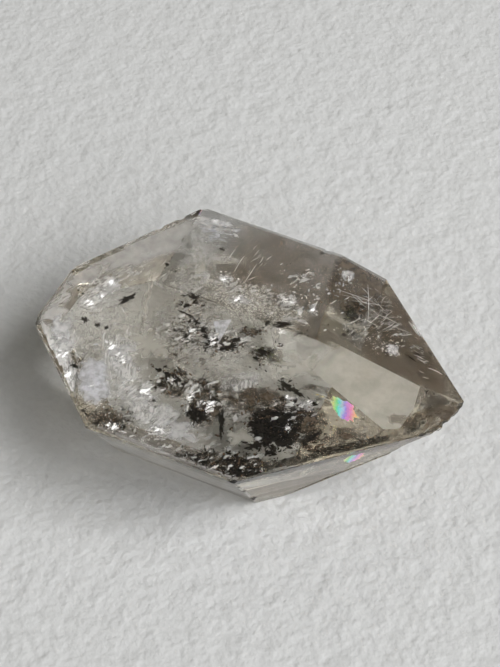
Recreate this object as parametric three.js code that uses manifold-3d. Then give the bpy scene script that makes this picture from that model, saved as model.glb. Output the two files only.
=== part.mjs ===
// A doubly terminated quartz crystal of the Herkimer type, lying on one of its prism faces.
//
// Millimetres, +Z up. The crystal's own long axis, the c axis of quartz, lies along X.
// Six prism faces run along that axis, one every 60 degrees, and each end is closed by the
// pyramid faces of the two rhombohedra. The top and the resting face are two opposite prism
// faces, so the crystal is a thick tablet with pointed ends. It is one solid, with no hollow.
//
// Faces are placed from a datum on the c axis, in the plane of the resting face. The finished
// solid is then moved so that the origin is the middle of its box, on the resting face.

import * as THREE from 'three';
import { mergeVertices } from 'three/addons/utils/BufferGeometryUtils.js';
import Module from 'manifold-3d';

const wasm = await Module();
wasm.setup();

// Crystal angles of quartz.
const PYRAMID_ANGLE = THREE.MathUtils.degToRad(51.79); // from the c axis to a pyramid normal
const SECTOR_ANGLE = THREE.MathUtils.degToRad(60); // from one prism face to the next

// Driving size: the distance between the top face and the resting face.
const HEIGHT = 10.6;

// Prism faces: sector and distance from the datum. Sector 1 faces up and sector 4 faces down.
const PRISM_FACES = [
  { sector: 1, distance: HEIGHT },
  { sector: 3, distance: 8.69 },
  { sector: 4, distance: 0 },
  { sector: 5, distance: 5.65 },
];

// Pyramid faces of the two ends, at +X and -X.
const RIGHT_END = +1;
const LEFT_END = -1;
const PYRAMID_FACES = [
  { end: RIGHT_END, sector: 3, distance: 10.2 },
  { end: RIGHT_END, sector: 4, distance: 4.75 },
  { end: RIGHT_END, sector: 5, distance: 9.2 },
  { end: LEFT_END, sector: 3, distance: 12.2 },
  { end: LEFT_END, sector: 4, distance: 7.5 },
];

// Steep and broken faces that belong to no simple form. Each is given by the two points where
// it meets the top face, with the crystal on its left hand, and by how far it leans in below.
const RIM_FACES = [
  { name: 'steep left back face', from: [-10.5, 12.63], to: [-18.3, 0.35], lean: 8 },
  { name: 'blunt left tip', from: [-18.25, 0.4], to: [-18.6, -7.1], lean: 6 },
  { name: 'right back bevel', from: [8.9, 11.58], to: [3.9, 12.65], lean: 29.4 },
  { name: 'broken right tip', from: [19.72, -2.93], to: [20.58, 0.95], lean: -4 },
  { name: 'broken right shoulder', from: [18.8, -4.38], to: [19.72, -2.93], lean: 10 },
];

// Shell-shaped chips on the edges: a point on the edge, the way out of the stone there, the
// radius of the hollow and how deep it bites.
const CHIPS = [
  { at: [20.5, 0.15, 10.3], out: [1, 0.1, 0.25], radius: 0.75, bite: 0.22 },
  { at: [20.2, -1.1, 10.2], out: [1, -0.2, -0.3], radius: 0.8, bite: 0.2 },
  { at: [19.85, -2.3, 10.3], out: [1, -0.3, 0.3], radius: 0.6, bite: 0.2 },
  { at: [19.35, -3.4, 10.1], out: [1, -0.6, 0.1], radius: 0.65, bite: 0.24 },
  { at: [18.7, -4.4, 10.3], out: [0.9, -1, 0.5], radius: 0.8, bite: 0.3 },
  { at: [-10.7, 12.55, 10.5], out: [-0.4, 1, 0.6], radius: 1.1, bite: 0.3 },
  { at: [-11.9, 10.45, 10.55], out: [-1, 0.6, 0.8], radius: 0.8, bite: 0.24 },
  { at: [-13.1, 8.5, 10.55], out: [-1, 0.5, 0.9], radius: 0.6, bite: 0.18 },
  { at: [5.6, -16.1, 10.5], out: [0.3, -1, 0.5], radius: 1.2, bite: 0.3 },
  { at: [5.5, -13.4, 5.9], out: [0.5, -1, -0.4], radius: 0.7, bite: 0.16 },
  { at: [5.5, -11.1, 2.0], out: [0.5, -1, -0.4], radius: 0.9, bite: 0.18 },
  { at: [-8.8, -16.1, 10.5], out: [-0.5, -1, 0.5], radius: 0.9, bite: 0.2 },
  { at: [8.9, 8.9, 5.9], out: [0.5, 1, -0.5], radius: 1.3, bite: 0.2 },
];

// How round a chip's hollow is: rings of triangles on each side of the icosahedron.
const CHIP_DETAIL = 7;

// Cutting blocks are larger than the whole crystal.
const BLANK_SIZE = 60;
const CUTTER_SIZE = 200;

const Z_AXIS = new THREE.Vector3(0, 0, 1);

const smokyQuartz = new THREE.MeshStandardMaterial({
  color: 0x9e988c,
  roughness: 0.08,
  metalness: 0,
  transparent: true,
  opacity: 0.55,
});

/** The outward direction of a prism face, across the c axis. */
function sectorDirection(sector) {
  const turn = (sector - 1) * SECTOR_ANGLE;
  return new THREE.Vector3(0, -Math.sin(turn), Math.cos(turn));
}

/** The plane of a prism face. */
function prismPlane({ sector, distance }) {
  return { normal: sectorDirection(sector), distance };
}

/** The plane of a pyramid face at one end. */
function pyramidPlane({ end, sector, distance }) {
  const normal = sectorDirection(sector).multiplyScalar(Math.sin(PYRAMID_ANGLE));
  normal.x = end * Math.cos(PYRAMID_ANGLE);
  return { normal, distance };
}

/** The plane of a face that meets the top along a line between two points of the rim. */
function rimPlane({ from, to, lean }) {
  const start = new THREE.Vector3(from[0], from[1], HEIGHT);
  const along = new THREE.Vector3(to[0] - from[0], to[1] - from[1], 0).normalize();
  const tilt = THREE.MathUtils.degToRad(lean);
  const outward = new THREE.Vector3(along.y, -along.x, 0).multiplyScalar(Math.cos(tilt));
  const normal = outward.addScaledVector(Z_AXIS, -Math.sin(tilt));
  return { normal, distance: normal.dot(start) };
}

/** A manifold solid from a three.js geometry whose shared vertices are merged. */
function toSolid(geometry) {
  const bare = geometry.clone();
  bare.deleteAttribute('normal');
  bare.deleteAttribute('uv');
  const merged = mergeVertices(bare);
  return new wasm.Manifold(new wasm.Mesh({
    numProp: 3,
    vertProperties: new Float32Array(merged.attributes.position.array),
    triVerts: new Uint32Array(merged.index.array),
  }));
}

/** A three.js geometry from a manifold solid. */
function toGeometry(solid) {
  const { vertProperties, triVerts } = solid.getMesh();
  const geometry = new THREE.BufferGeometry();
  geometry.setAttribute('position', new THREE.BufferAttribute(vertProperties, 3));
  geometry.setIndex(new THREE.BufferAttribute(triVerts, 1));
  return geometry;
}

/** A large block whose near side lies on a face's plane and which removes all beyond it. */
function faceCutter({ normal, distance }) {
  const block = new THREE.BoxGeometry(CUTTER_SIZE, CUTTER_SIZE, CUTTER_SIZE);
  block.translate(0, 0, CUTTER_SIZE / 2);
  block.applyQuaternion(new THREE.Quaternion().setFromUnitVectors(Z_AXIS, normal));
  block.translate(...normal.clone().multiplyScalar(distance));
  return toSolid(block);
}

/** A ball that stands mostly outside the stone and hollows a chip out of its edge. */
function chipCutter({ at, out, radius, bite }) {
  const ball = new THREE.IcosahedronGeometry(radius, CHIP_DETAIL);
  const outward = new THREE.Vector3(...out).normalize();
  const centre = new THREE.Vector3(...at).addScaledVector(outward, radius - bite);
  ball.translate(...centre);
  return toSolid(ball);
}

/** The whole crystal: a blank cut by every face, then chipped along its edges. */
function crystalGeometry() {
  const planes = [
    ...PRISM_FACES.map(prismPlane),
    ...PYRAMID_FACES.map(pyramidPlane),
    ...RIM_FACES.map(rimPlane),
  ];
  let solid = toSolid(new THREE.BoxGeometry(BLANK_SIZE, BLANK_SIZE, BLANK_SIZE));
  for (const plane of planes) {
    solid = solid.subtract(faceCutter(plane));
  }
  for (const chip of CHIPS) {
    solid = solid.subtract(chipCutter(chip));
  }
  const geometry = toGeometry(solid);
  geometry.computeBoundingBox();
  const { min, max } = geometry.boundingBox;
  geometry.translate(-(min.x + max.x) / 2, -(min.y + max.y) / 2, -min.z);
  return geometry;
}

const crystal = new THREE.Mesh(crystalGeometry(), smokyQuartz);
crystal.name = 'quartz_crystal';

const herkimerDiamond = new THREE.Group();
herkimerDiamond.add(crystal);

export default herkimerDiamond;
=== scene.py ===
"""The looks of a doubly terminated quartz crystal of the Herkimer type.

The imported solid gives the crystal's flat faces. The crystal is cut again from those faces with
worn edges, growth lines and shell-shaped chips, in clear quartz with a faint smoky tint. All that
is sealed inside it is made as meshes: carbon, tar films, healed cracks, feathers, needles and one
thin crack with rainbow colours. Lengths below are in millimetres where a name says so, and the
meshes are in metres.
"""

import logging
import math
import random
from collections.abc import Sequence
from dataclasses import dataclass, field
from enum import Enum
from typing import TypeVar

import bmesh
import bpy
from mathutils import Euler, Matrix, Vector, noise

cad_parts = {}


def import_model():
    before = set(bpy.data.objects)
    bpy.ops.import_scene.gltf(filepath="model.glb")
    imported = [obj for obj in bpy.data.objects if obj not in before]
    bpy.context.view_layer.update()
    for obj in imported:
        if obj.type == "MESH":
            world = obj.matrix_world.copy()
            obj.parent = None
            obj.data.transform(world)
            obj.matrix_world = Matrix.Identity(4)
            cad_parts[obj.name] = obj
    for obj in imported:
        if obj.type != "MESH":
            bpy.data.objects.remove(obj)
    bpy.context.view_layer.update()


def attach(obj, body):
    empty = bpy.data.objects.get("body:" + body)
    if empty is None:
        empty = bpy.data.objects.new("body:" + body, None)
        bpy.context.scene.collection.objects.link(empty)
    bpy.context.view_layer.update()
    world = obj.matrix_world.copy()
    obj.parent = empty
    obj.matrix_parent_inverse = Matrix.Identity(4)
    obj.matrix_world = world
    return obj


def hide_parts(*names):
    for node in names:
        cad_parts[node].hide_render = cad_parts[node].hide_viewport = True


MM = 0.001
BODY = "root"
CAD_NODE = "quartz_crystal"

Triple = tuple[float, float, float]
Pair = tuple[float, float]
Item = TypeVar("Item")

log = logging.getLogger("quartz")


# ---------------------------------------------------------------------------------------------
# Shader maths
# ---------------------------------------------------------------------------------------------


class Field:
    """A number that varies over a surface, so that maths on it reads as an expression."""

    def __init__(self, graph: "Graph", socket: bpy.types.NodeSocket) -> None:
        """Wraps one output socket of a node graph."""
        self.graph = graph
        self.socket = socket

    def _maths(self, operation: str, first: "Number", second: "Number") -> "Field":
        """Adds one Math node and returns its result."""
        node = self.graph.add("ShaderNodeMath", {"operation": operation}, {0: first, 1: second})
        return Field(self.graph, node.outputs[0])

    def __add__(self, other: "Number") -> "Field":
        """The sum."""
        return self._maths("ADD", self, other)

    def __radd__(self, other: "Number") -> "Field":
        """The sum, with a plain number on the left."""
        return self._maths("ADD", other, self)

    def __sub__(self, other: "Number") -> "Field":
        """The difference."""
        return self._maths("SUBTRACT", self, other)

    def __rsub__(self, other: "Number") -> "Field":
        """The difference, with a plain number on the left."""
        return self._maths("SUBTRACT", other, self)

    def __mul__(self, other: "Number") -> "Field":
        """The product."""
        return self._maths("MULTIPLY", self, other)

    def __rmul__(self, other: "Number") -> "Field":
        """The product, with a plain number on the left."""
        return self._maths("MULTIPLY", other, self)

    def ease(self, low: float, high: float, start: float = 0.0, end: float = 1.0) -> "Field":
        """Goes smoothly from start to end as the value goes from low to high.

        Args:
            low: the value where the result begins to change.
            high: the value where it stops.
            start: the result at low and below.
            end: the result at high and above.

        Returns:
            The eased value.
        """
        limits = {"From Min": low, "From Max": high, "To Min": start, "To Max": end}
        settings = {"interpolation_type": "SMOOTHSTEP"}
        node = self.graph.add("ShaderNodeMapRange", settings, {"Value": self, **limits})
        return Field(self.graph, node.outputs["Result"])


Number = Field | float


class Graph:
    """One material's or world's node tree, and the few things that are built in it."""

    def __init__(self, tree: bpy.types.NodeTree) -> None:
        """Starts from an empty tree."""
        self.tree = tree
        tree.nodes.clear()

    def add(self, kind: str, settings: dict | None = None, inputs: dict | None = None) -> bpy.types.Node:
        """Makes any node.

        Args:
            kind: the node's type name.
            settings: its own properties, set first; "stops" are a colour ramp's.
            inputs: socket name or number to a value, a Field or another node's output.

        Returns:
            The node.
        """
        node = self.tree.nodes.new(kind)
        for name, value in (settings or {}).items():
            if name == "stops":
                self._set_stops(node.color_ramp, value)
            else:
                setattr(node, name, value)
        for name, value in (inputs or {}).items():
            if isinstance(value, Field):
                self.tree.links.new(value.socket, node.inputs[name])
            elif isinstance(value, bpy.types.NodeSocket):
                self.tree.links.new(value, node.inputs[name])
            else:
                node.inputs[name].default_value = value
        return node

    @staticmethod
    def _set_stops(ramp: bpy.types.ColorRamp, stops: Sequence[tuple[float, Triple]]) -> None:
        """Gives a colour ramp its stops."""
        while len(ramp.elements) < len(stops):
            ramp.elements.new(1.0)
        for element, (position, colour) in zip(ramp.elements, stops):
            element.position = position
            element.color = (*colour, 1.0)

    def place(self, turn: Triple = (0, 0, 0), stretch: Triple = (1, 1, 1)) -> bpy.types.NodeSocket:
        """Object coordinates for a pattern that is turned, then drawn out along its own axes.

        Args:
            turn: the pattern's turn in degrees about each axis.
            stretch: how many times longer the pattern is along each of its axes.

        Returns:
            The socket of the placed coordinates.
        """
        source = self.add("ShaderNodeTexCoord").outputs["Object"]
        angles = tuple(math.radians(value) for value in turn)
        inputs = {"Vector": source, "Rotation": angles, "Scale": stretch}
        return self.add("ShaderNodeMapping", {"vector_type": "TEXTURE"}, inputs).outputs["Vector"]

    def grain(self, size: float, detail: float = 4.0, place: bpy.types.NodeSocket | None = None) -> Field:
        """Cloudy noise whose features are about size metres across.

        Args:
            size: the size of one cloud in metres.
            detail: how many finer layers it has.
            place: coordinates to read, or None for plain object coordinates.

        Returns:
            The noise from 0 to 1.
        """
        vector = place or self.place()
        inputs = {"Vector": vector, "Scale": 1.0 / size, "Detail": detail}
        return Field(self, self.add("ShaderNodeTexNoise", None, inputs).outputs["Fac"])

    def blend(self, share: Field, first: Triple, second: Triple) -> bpy.types.NodeSocket:
        """A colour that goes from the first to the second as share goes from 0 to 1."""
        inputs = {"Factor": share, 6: (*first, 1.0), 7: (*second, 1.0)}
        return self.add("ShaderNodeMix", {"data_type": "RGBA"}, inputs).outputs[2]

    def bump(self, height: Field, depth: float) -> bpy.types.NodeSocket:
        """The normal of a surface raised by a height field of the given depth in metres."""
        inputs = {"Height": height, "Distance": depth, "Strength": 1.0}
        return self.add("ShaderNodeBump", None, inputs).outputs["Normal"]

    def project(self, vector: bpy.types.NodeSocket, along: Vector | Triple) -> Field:
        """How far a vector reaches along a direction."""
        settings = {"operation": "DOT_PRODUCT"}
        node = self.add("ShaderNodeVectorMath", settings, {0: vector, 1: along})
        return Field(self, node.outputs["Value"])

    def surface(self, inputs: dict) -> bpy.types.Node:
        """The Principled shader and the output it feeds.

        Args:
            inputs: the shader's socket values and links.

        Returns:
            The output node, for a volume.
        """
        shader = self.add("ShaderNodeBsdfPrincipled", None, inputs)
        return self.add("ShaderNodeOutputMaterial", None, {"Surface": shader.outputs["BSDF"]})


def new_graph(name: str) -> tuple[bpy.types.Material, Graph]:
    """An empty material and its graph."""
    material = bpy.data.materials.new(name)
    material.use_nodes = True
    return material, Graph(material.node_tree)


# ---------------------------------------------------------------------------------------------
# Finishes
# ---------------------------------------------------------------------------------------------

MIDDLE_TONES = (0.3, 0.7)  # the part of a noise's range that a colour blend uses
DULL = 0.08  # the specular level of what is sealed in the quartz


@dataclass(frozen=True)
class QuartzFinish:
    """Clear quartz, tinted only by the length of the way through it."""

    name: str
    roughness: float
    ripple_size: float
    ripple_depth: float
    tint: Triple = (0.87, 0.82, 0.71)
    density: float = 42.0
    index: float = 1.544
    ripple_turn: Triple = (0, 0, 20)
    ripple_stretch: Triple = (2.4, 1.0, 1.0)

    def make(self) -> bpy.types.Material:
        """Builds the material."""
        material, graph = new_graph(self.name)
        ripple = graph.grain(self.ripple_size, 3.0, graph.place(self.ripple_turn, self.ripple_stretch))
        output = graph.surface(
            {
                "Base Color": (1.0, 1.0, 1.0, 1.0),
                "Roughness": self.roughness,
                "IOR": self.index,
                "Transmission Weight": 1.0,
                "Normal": graph.bump(ripple, self.ripple_depth),
            }
        )
        inputs = {"Color": (*self.tint, 1.0), "Density": self.density}
        volume = graph.add("ShaderNodeVolumeAbsorption", None, inputs)
        graph.tree.links.new(volume.outputs["Volume"], output.inputs["Volume"])
        return material


@dataclass(frozen=True)
class SealedFinish:
    """A solid sealed in the quartz: two colours in a fine grain, and how it shines."""

    name: str
    dark: Triple
    light: Triple
    grain_mm: float
    roughness: float = 0.45

    def make(self) -> bpy.types.Material:
        """Builds the material."""
        material, graph = new_graph(self.name)
        mottle = graph.grain(self.grain_mm * MM)
        colour = graph.blend(mottle.ease(*MIDDLE_TONES), self.dark, self.light)
        graph.surface({"Base Color": colour, "Roughness": self.roughness, "Specular IOR Level": DULL})
        return material


@dataclass(frozen=True)
class RainbowFinish:
    """A thin gap of air in a crack, coloured in bands by its thickness; its glow is painted light, since the
    crack is no lamp.
    """

    name: str
    along: Vector
    centre: Vector
    half_width: float
    painted_glow: float = 0.45
    wobble: float = 0.16
    wobble_size: float = 0.7 * MM
    gap_size: float = 0.35 * MM
    bands: tuple[tuple[float, Triple], ...] = (
        (0.00, (0.82, 0.80, 0.56)),
        (0.12, (0.74, 0.90, 0.34)),
        (0.22, (0.28, 0.86, 0.44)),
        (0.31, (0.22, 0.86, 0.86)),
        (0.40, (0.62, 0.80, 0.96)),
        (0.48, (0.52, 0.42, 0.94)),
        (0.60, (0.93, 0.36, 0.78)),
        (0.72, (0.98, 0.48, 0.60)),
        (0.84, (0.98, 0.76, 0.38)),
        (1.00, (0.94, 0.92, 0.74)),
    )

    def make(self) -> bpy.types.Material:
        """Builds the material."""
        material, graph = new_graph(self.name)
        source = graph.add("ShaderNodeTexCoord").outputs["Object"]
        offset = graph.add("ShaderNodeVectorMath", {"operation": "SUBTRACT"}, {0: source, 1: self.centre})
        share = graph.project(offset.outputs["Vector"], self.along / self.half_width) * 0.5 + 0.5
        wavy = share + (graph.grain(self.wobble_size, 3.0) - 0.5) * self.wobble
        ramp = graph.add("ShaderNodeValToRGB", {"stops": self.bands}, {"Fac": wavy})
        graph.surface(
            {
                "Base Color": ramp.outputs["Color"],
                # The emission is a painted glow: the crack is no lamp.
                "Emission Color": ramp.outputs["Color"],
                "Emission Strength": self.painted_glow,
                "Roughness": 0.3,
                "Alpha": graph.grain(self.gap_size).ease(0.3, 0.6, 0.7, 1.0),
            }
        )
        return material


@dataclass(frozen=True)
class PaperFinish:
    """Rough white drawing paper, painted a little darker where its tooth is low: painted shade in the
    hollows of its grain.
    """

    colour: Triple = (0.615, 0.617, 0.610)
    tooth: float = 0.75 * MM
    depth: float = 0.16 * MM
    hollow_shade: float = 0.95
    swell_times: float = 3.0
    swell_share: float = 2.2

    def make(self) -> bpy.types.Material:
        """Builds the material."""
        material, graph = new_graph("rough_paper")
        tooth = graph.grain(self.tooth, 3.0)
        swell = graph.grain(self.tooth * self.swell_times, 2.0)
        # Painted shade: darker where the tooth is low, in the hollows of the bump.
        dark = tuple(self.hollow_shade * part for part in self.colour)
        colour = graph.blend(tooth.ease(*MIDDLE_TONES), dark, self.colour)
        height = tooth + swell * self.swell_share
        graph.surface({"Base Color": colour, "Roughness": 0.9, "Normal": graph.bump(height, self.depth)})
        return material


# ---------------------------------------------------------------------------------------------
# The crystal's faces, and places inside it
# ---------------------------------------------------------------------------------------------


def to_object(name: str, bm: bmesh.types.BMesh, materials: Sequence[bpy.types.Material]) -> bpy.types.Object:
    """Turns a bmesh into a linked object at the origin and frees the bmesh.

    Args:
        name: the object's name.
        bm: its mesh, already in place.
        materials: its material slots in order.

    Returns:
        The object.
    """
    mesh = bpy.data.meshes.new(name)
    bm.to_mesh(mesh)
    bm.free()
    for material in materials:
        mesh.materials.append(material)
    obj = bpy.data.objects.new(name, mesh)
    bpy.context.scene.collection.objects.link(obj)
    return obj


def join(whole: bmesh.types.BMesh, part: bmesh.types.BMesh) -> None:
    """Moves all of one bmesh into another and frees it."""
    mesh = bpy.data.meshes.new("part")
    part.to_mesh(mesh)
    part.free()
    whole.from_mesh(mesh)
    bpy.data.meshes.remove(mesh)


def round_edges(bm: bmesh.types.BMesh, edges: list, width: float, segments: int) -> None:
    """Bevels edges by a width in metres."""
    shape = {"offset_type": "OFFSET", "profile": 0.5, "affect": "EDGES", "material": -1}
    bmesh.ops.bevel(bm, geom=edges, offset=width, segments=segments, **shape)


def turned(about_x: float, about_y: float, about_z: float) -> Matrix:
    """The turn by three angles in degrees, about X, then Y, then Z."""
    angles = [math.radians(angle) for angle in (about_x, about_y, about_z)]
    return Euler(angles, "XYZ").to_matrix().to_4x4()


@dataclass(frozen=True)
class Plane:
    """One flat face: its outward normal and its distance from the origin in metres."""

    normal: Vector
    distance: float


class Hull:
    """The large flat faces of the crystal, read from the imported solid."""

    LEAST_AREA = 0.2 * MM * MM
    SAME_WAY = math.cos(math.radians(1.5))
    SAME_LEVEL = 0.03 * MM

    def __init__(self, node: bpy.types.Object) -> None:
        """Adds up the node's triangles that lie in one plane, largest first, and keeps the large faces."""
        planes: list[Plane] = []
        areas: list[float] = []
        for triangle in sorted(node.data.polygons, key=lambda item: -item.area):
            normal = triangle.normal.copy()
            for index, plane in enumerate(planes):
                level = abs(plane.normal.dot(triangle.center) - plane.distance)
                if level < self.SAME_LEVEL and plane.normal.dot(normal) > self.SAME_WAY:
                    areas[index] += triangle.area
                    break
            else:
                planes.append(Plane(normal, normal.dot(triangle.center)))
                areas.append(triangle.area)
        self.planes = [plane for plane, area in zip(planes, areas) if area > self.LEAST_AREA]
        self.hollows: list[tuple[Vector, float]] = []

    def room(self, point: Vector, besides: Plane | None = None) -> float:
        """How far a point lies under the nearest face or chip, in metres; negative outside.

        Args:
            point: the point.
            besides: a face that is left out.

        Returns:
            The distance to the nearest other face.
        """
        faces = [plane for plane in self.planes if plane is not besides]
        under_faces = [plane.distance - plane.normal.dot(point) for plane in faces]
        return min(under_faces + [(point - centre).length - radius for centre, radius in self.hollows])

    def facing(self, direction: Vector) -> Plane:
        """The face whose normal is nearest to a direction."""
        return max(self.planes, key=lambda plane: plane.normal.dot(direction))


@dataclass(frozen=True)
class TopWindow:
    """Finds the place of an inclusion from the spot of the top face where it is seen.

    The crystal is looked at slantwise through its flat top, so a sight line goes on inside it
    away from the viewer, by a fixed share of its depth.
    """

    height: float = 10.6 * MM
    heading: float = math.radians(90 + 22.05)
    share: float = 0.462

    def under(self, x_mm: float, y_mm: float, depth_mm: float) -> Vector:
        """The point at a depth on the sight line that enters the top face at x, y."""
        drift = self.share * depth_mm * MM
        ahead = Vector((math.cos(self.heading), math.sin(self.heading), 0.0)) * drift
        return Vector((x_mm * MM, y_mm * MM, self.height - depth_mm * MM)) + ahead


# ---------------------------------------------------------------------------------------------
# The crystal
# ---------------------------------------------------------------------------------------------


@dataclass(frozen=True)
class Chip:
    """A shell-shaped chip on an edge: a point of the edge, the way out there, and its size."""

    at: Triple
    out: Triple
    radius: float
    bite: float
    lumps: float = 0.10
    ribs: float = 0.018

    def centre(self) -> Vector:
        """The middle of the ball that hollows the chip out, in metres."""
        return (Vector(self.at) + Vector(self.out).normalized() * (self.radius - self.bite)) * MM


@dataclass(frozen=True)
class GrowthLines:
    """Straight growth lines on one face: which way it faces, and the lines' pitch and depth."""

    facing: Triple
    along: Triple
    pitch: Pair
    depth: float


@dataclass
class CrystalSkin:
    """The quartz itself: flat faces with worn edges, growth lines and chips."""

    hull: Hull
    seed: int = 7
    blank_mm: float = 60.0
    wear_mm: float = 0.085
    border_mm: float = 0.12
    large_chip_mm: float = 3.0
    rib_count: float = 22.0
    fine_share: float = 0.35
    chips: tuple[Chip, ...] = (
        Chip((19.5, 1.9, 10.3), (1, 0.1, 0.25), 0.8, 0.24),
        Chip((19.25, 0.65, 10.2), (1, -0.2, -0.3), 0.85, 0.22),
        Chip((18.95, -0.35, 10.35), (1, -0.3, 0.4), 0.6, 0.2),
        Chip((18.75, -0.95, 10.1), (1, -0.3, -0.2), 0.5, 0.18),
        Chip((18.35, -1.65, 10.1), (1, -0.6, 0.1), 0.65, 0.24),
        Chip((17.7, -2.65, 10.3), (0.9, -1, 0.5), 0.8, 0.3),
        Chip((-11.7, 14.3, 10.5), (-0.4, 1, 0.6), 1.1, 0.3),
        Chip((-12.9, 12.2, 10.55), (-1, 0.6, 0.8), 0.8, 0.24),
        Chip((-14.1, 10.25, 10.55), (-1, 0.5, 0.9), 0.6, 0.18),
        Chip((4.6, -14.35, 10.5), (0.3, -1, 0.5), 1.2, 0.3),
        Chip((4.5, -11.65, 5.9), (0.5, -1, -0.4), 0.7, 0.16),
        Chip((4.5, -9.35, 2.0), (0.5, -1, -0.4), 0.9, 0.18),
        Chip((4.5, -12.9, 8.0), (0.5, -1, -0.4), 0.45, 0.12),
        Chip((-9.8, -14.35, 10.5), (-0.5, -1, 0.5), 0.9, 0.2),
        Chip((7.9, 10.65, 5.9), (0.5, 1, -0.5), 1.3, 0.2),
        Chip((-19.2, -5.2, 10.5), (-1, -0.3, 0.4), 0.9, 0.16),
        Chip((-19.25, 2.1, 10.5), (-1, 0.4, 0.4), 0.7, 0.14),
        Chip((6.7, -6.3, 0.1), (0.6, -0.4, -0.6), 0.6, 0.1),
        Chip((1.5, 14.35, 10.5), (0.1, 1, 0.5), 0.5, 0.09),
        Chip((17.6, -0.4, 8.85), (0.62, -0.15, -0.77), 9.0, 0.62, 0.017, 0.0012),
    )
    growth: tuple[GrowthLines, ...] = (
        GrowthLines((0.62, -0.68, -0.39), (-0.74, -0.67, 0.0), (0.14, 0.62), 0.022),
        GrowthLines((0.0, -0.87, -0.5), (1.0, 0.0, 0.0), (0.4, 1.3), 0.012),
        GrowthLines((0.0, 0.87, -0.5), (0.0, 0.5, 0.87), (0.5, 1.9), 0.008),
        GrowthLines((0.62, 0.68, -0.39), (0.74, -0.67, 0.0), (0.3, 1.1), 0.012),
        GrowthLines((-0.62, -0.68, -0.39), (0.74, -0.67, 0.0), (0.3, 1.2), 0.010),
    )

    def build(self) -> bpy.types.Object:
        """Builds the crystal and dresses it.

        Returns:
            The finished object.
        """
        bm = self._cut_faces()
        round_edges(bm, bm.edges[:], self.wear_mm * MM, 2)
        chance = random.Random(self.seed)
        for lines in self.growth:
            self._rule(bm, lines, chance)
        for chip in self.chips:
            swell = 1.0 + chip.ribs + 1.3 * chip.lumps
            self.hull.hollows.append((chip.centre(), chip.radius * swell * MM))
        polished = QuartzFinish("clear_quartz", 0.0, 2.2 * MM, 0.004 * MM).make()
        broken = QuartzFinish("broken_quartz", 0.12, 0.25 * MM, 0.02 * MM).make()
        obj = to_object("quartz_crystal_skin", bm, (polished, broken))
        self._break_chips(obj, broken, chance)
        return obj

    def _cut_faces(self) -> bmesh.types.BMesh:
        """A blank cut by every flat face of the crystal."""
        bm = bmesh.new()
        bmesh.ops.create_cube(bm, size=self.blank_mm * MM)
        for plane in self.hull.planes:
            geometry = bm.verts[:] + bm.edges[:] + bm.faces[:]
            middle = plane.normal * plane.distance
            cut = bmesh.ops.bisect_plane(
                bm, geom=geometry, plane_co=middle, plane_no=plane.normal, clear_outer=True
            )
            rim = [item for item in cut["geom_cut"] if isinstance(item, bmesh.types.BMEdge)]
            if rim:
                bmesh.ops.contextual_create(bm, geom=rim)
        bmesh.ops.recalc_face_normals(bm, faces=bm.faces)
        return bm

    def _rule(self, bm: bmesh.types.BMesh, lines: GrowthLines, chance: random.Random) -> None:
        """Rules growth lines on one face.

        Args:
            bm: the crystal's mesh.
            lines: which face, and the lines' pitch and depth.
            chance: the source of the uneven pitch and depth.
        """
        plane = self.hull.facing(Vector(lines.facing))
        face = max(bm.faces, key=lambda f: f.normal.dot(plane.normal) * math.sqrt(f.calc_area()))
        bmesh.ops.inset_individual(bm, faces=[face], thickness=self.border_mm * MM, use_even_offset=True)
        along = Vector(lines.along)
        along = (along - plane.normal * along.dot(plane.normal)).normalized()
        across = plane.normal.cross(along)
        reach = [vert.co.dot(across) for vert in face.verts]
        place = min(reach)
        patch = [face]
        while True:
            place += chance.uniform(*lines.pitch) * MM
            if place > max(reach) - lines.pitch[0] * MM:
                break
            edges = dict.fromkeys(edge for item in patch for edge in item.edges)
            verts = dict.fromkeys(vert for item in patch for vert in item.verts)
            geometry = [*verts, *edges, *patch]
            cut = bmesh.ops.bisect_plane(bm, geom=geometry, plane_co=across * place, plane_no=across)
            patch = [item for item in cut["geom"] if isinstance(item, bmesh.types.BMFace)]
            sink = plane.normal * (chance.random() ** 2 * lines.depth * MM)
            for item in cut["geom_cut"]:
                if isinstance(item, bmesh.types.BMVert):
                    item.co -= sink

    def _break_chips(self, obj: bpy.types.Object, finish: bpy.types.Material, chance: random.Random) -> None:
        """Hollows every chip out of the crystal and smooths its ribs.

        Args:
            obj: the crystal.
            finish: the material of a broken surface.
            chance: the source of the chips' uneven shape.
        """
        cutters = [self._chip_cutter(chip, finish, chance) for chip in self.chips]
        for cutter in cutters:
            modifier = obj.modifiers.new("chip", "BOOLEAN")
            modifier.operation = "DIFFERENCE"
            modifier.solver = "EXACT"
            modifier.material_mode = "TRANSFER"
            modifier.object = cutter
        graph = bpy.context.evaluated_depsgraph_get()
        chipped = bpy.data.meshes.new_from_object(obj.evaluated_get(graph))
        obj.modifiers.clear()
        obj.data = chipped
        for cutter in cutters:
            bpy.data.objects.remove(cutter)
        broken_slot = chipped.materials.find(finish.name)
        for polygon in chipped.polygons:
            polygon.use_smooth = polygon.material_index == broken_slot

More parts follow.
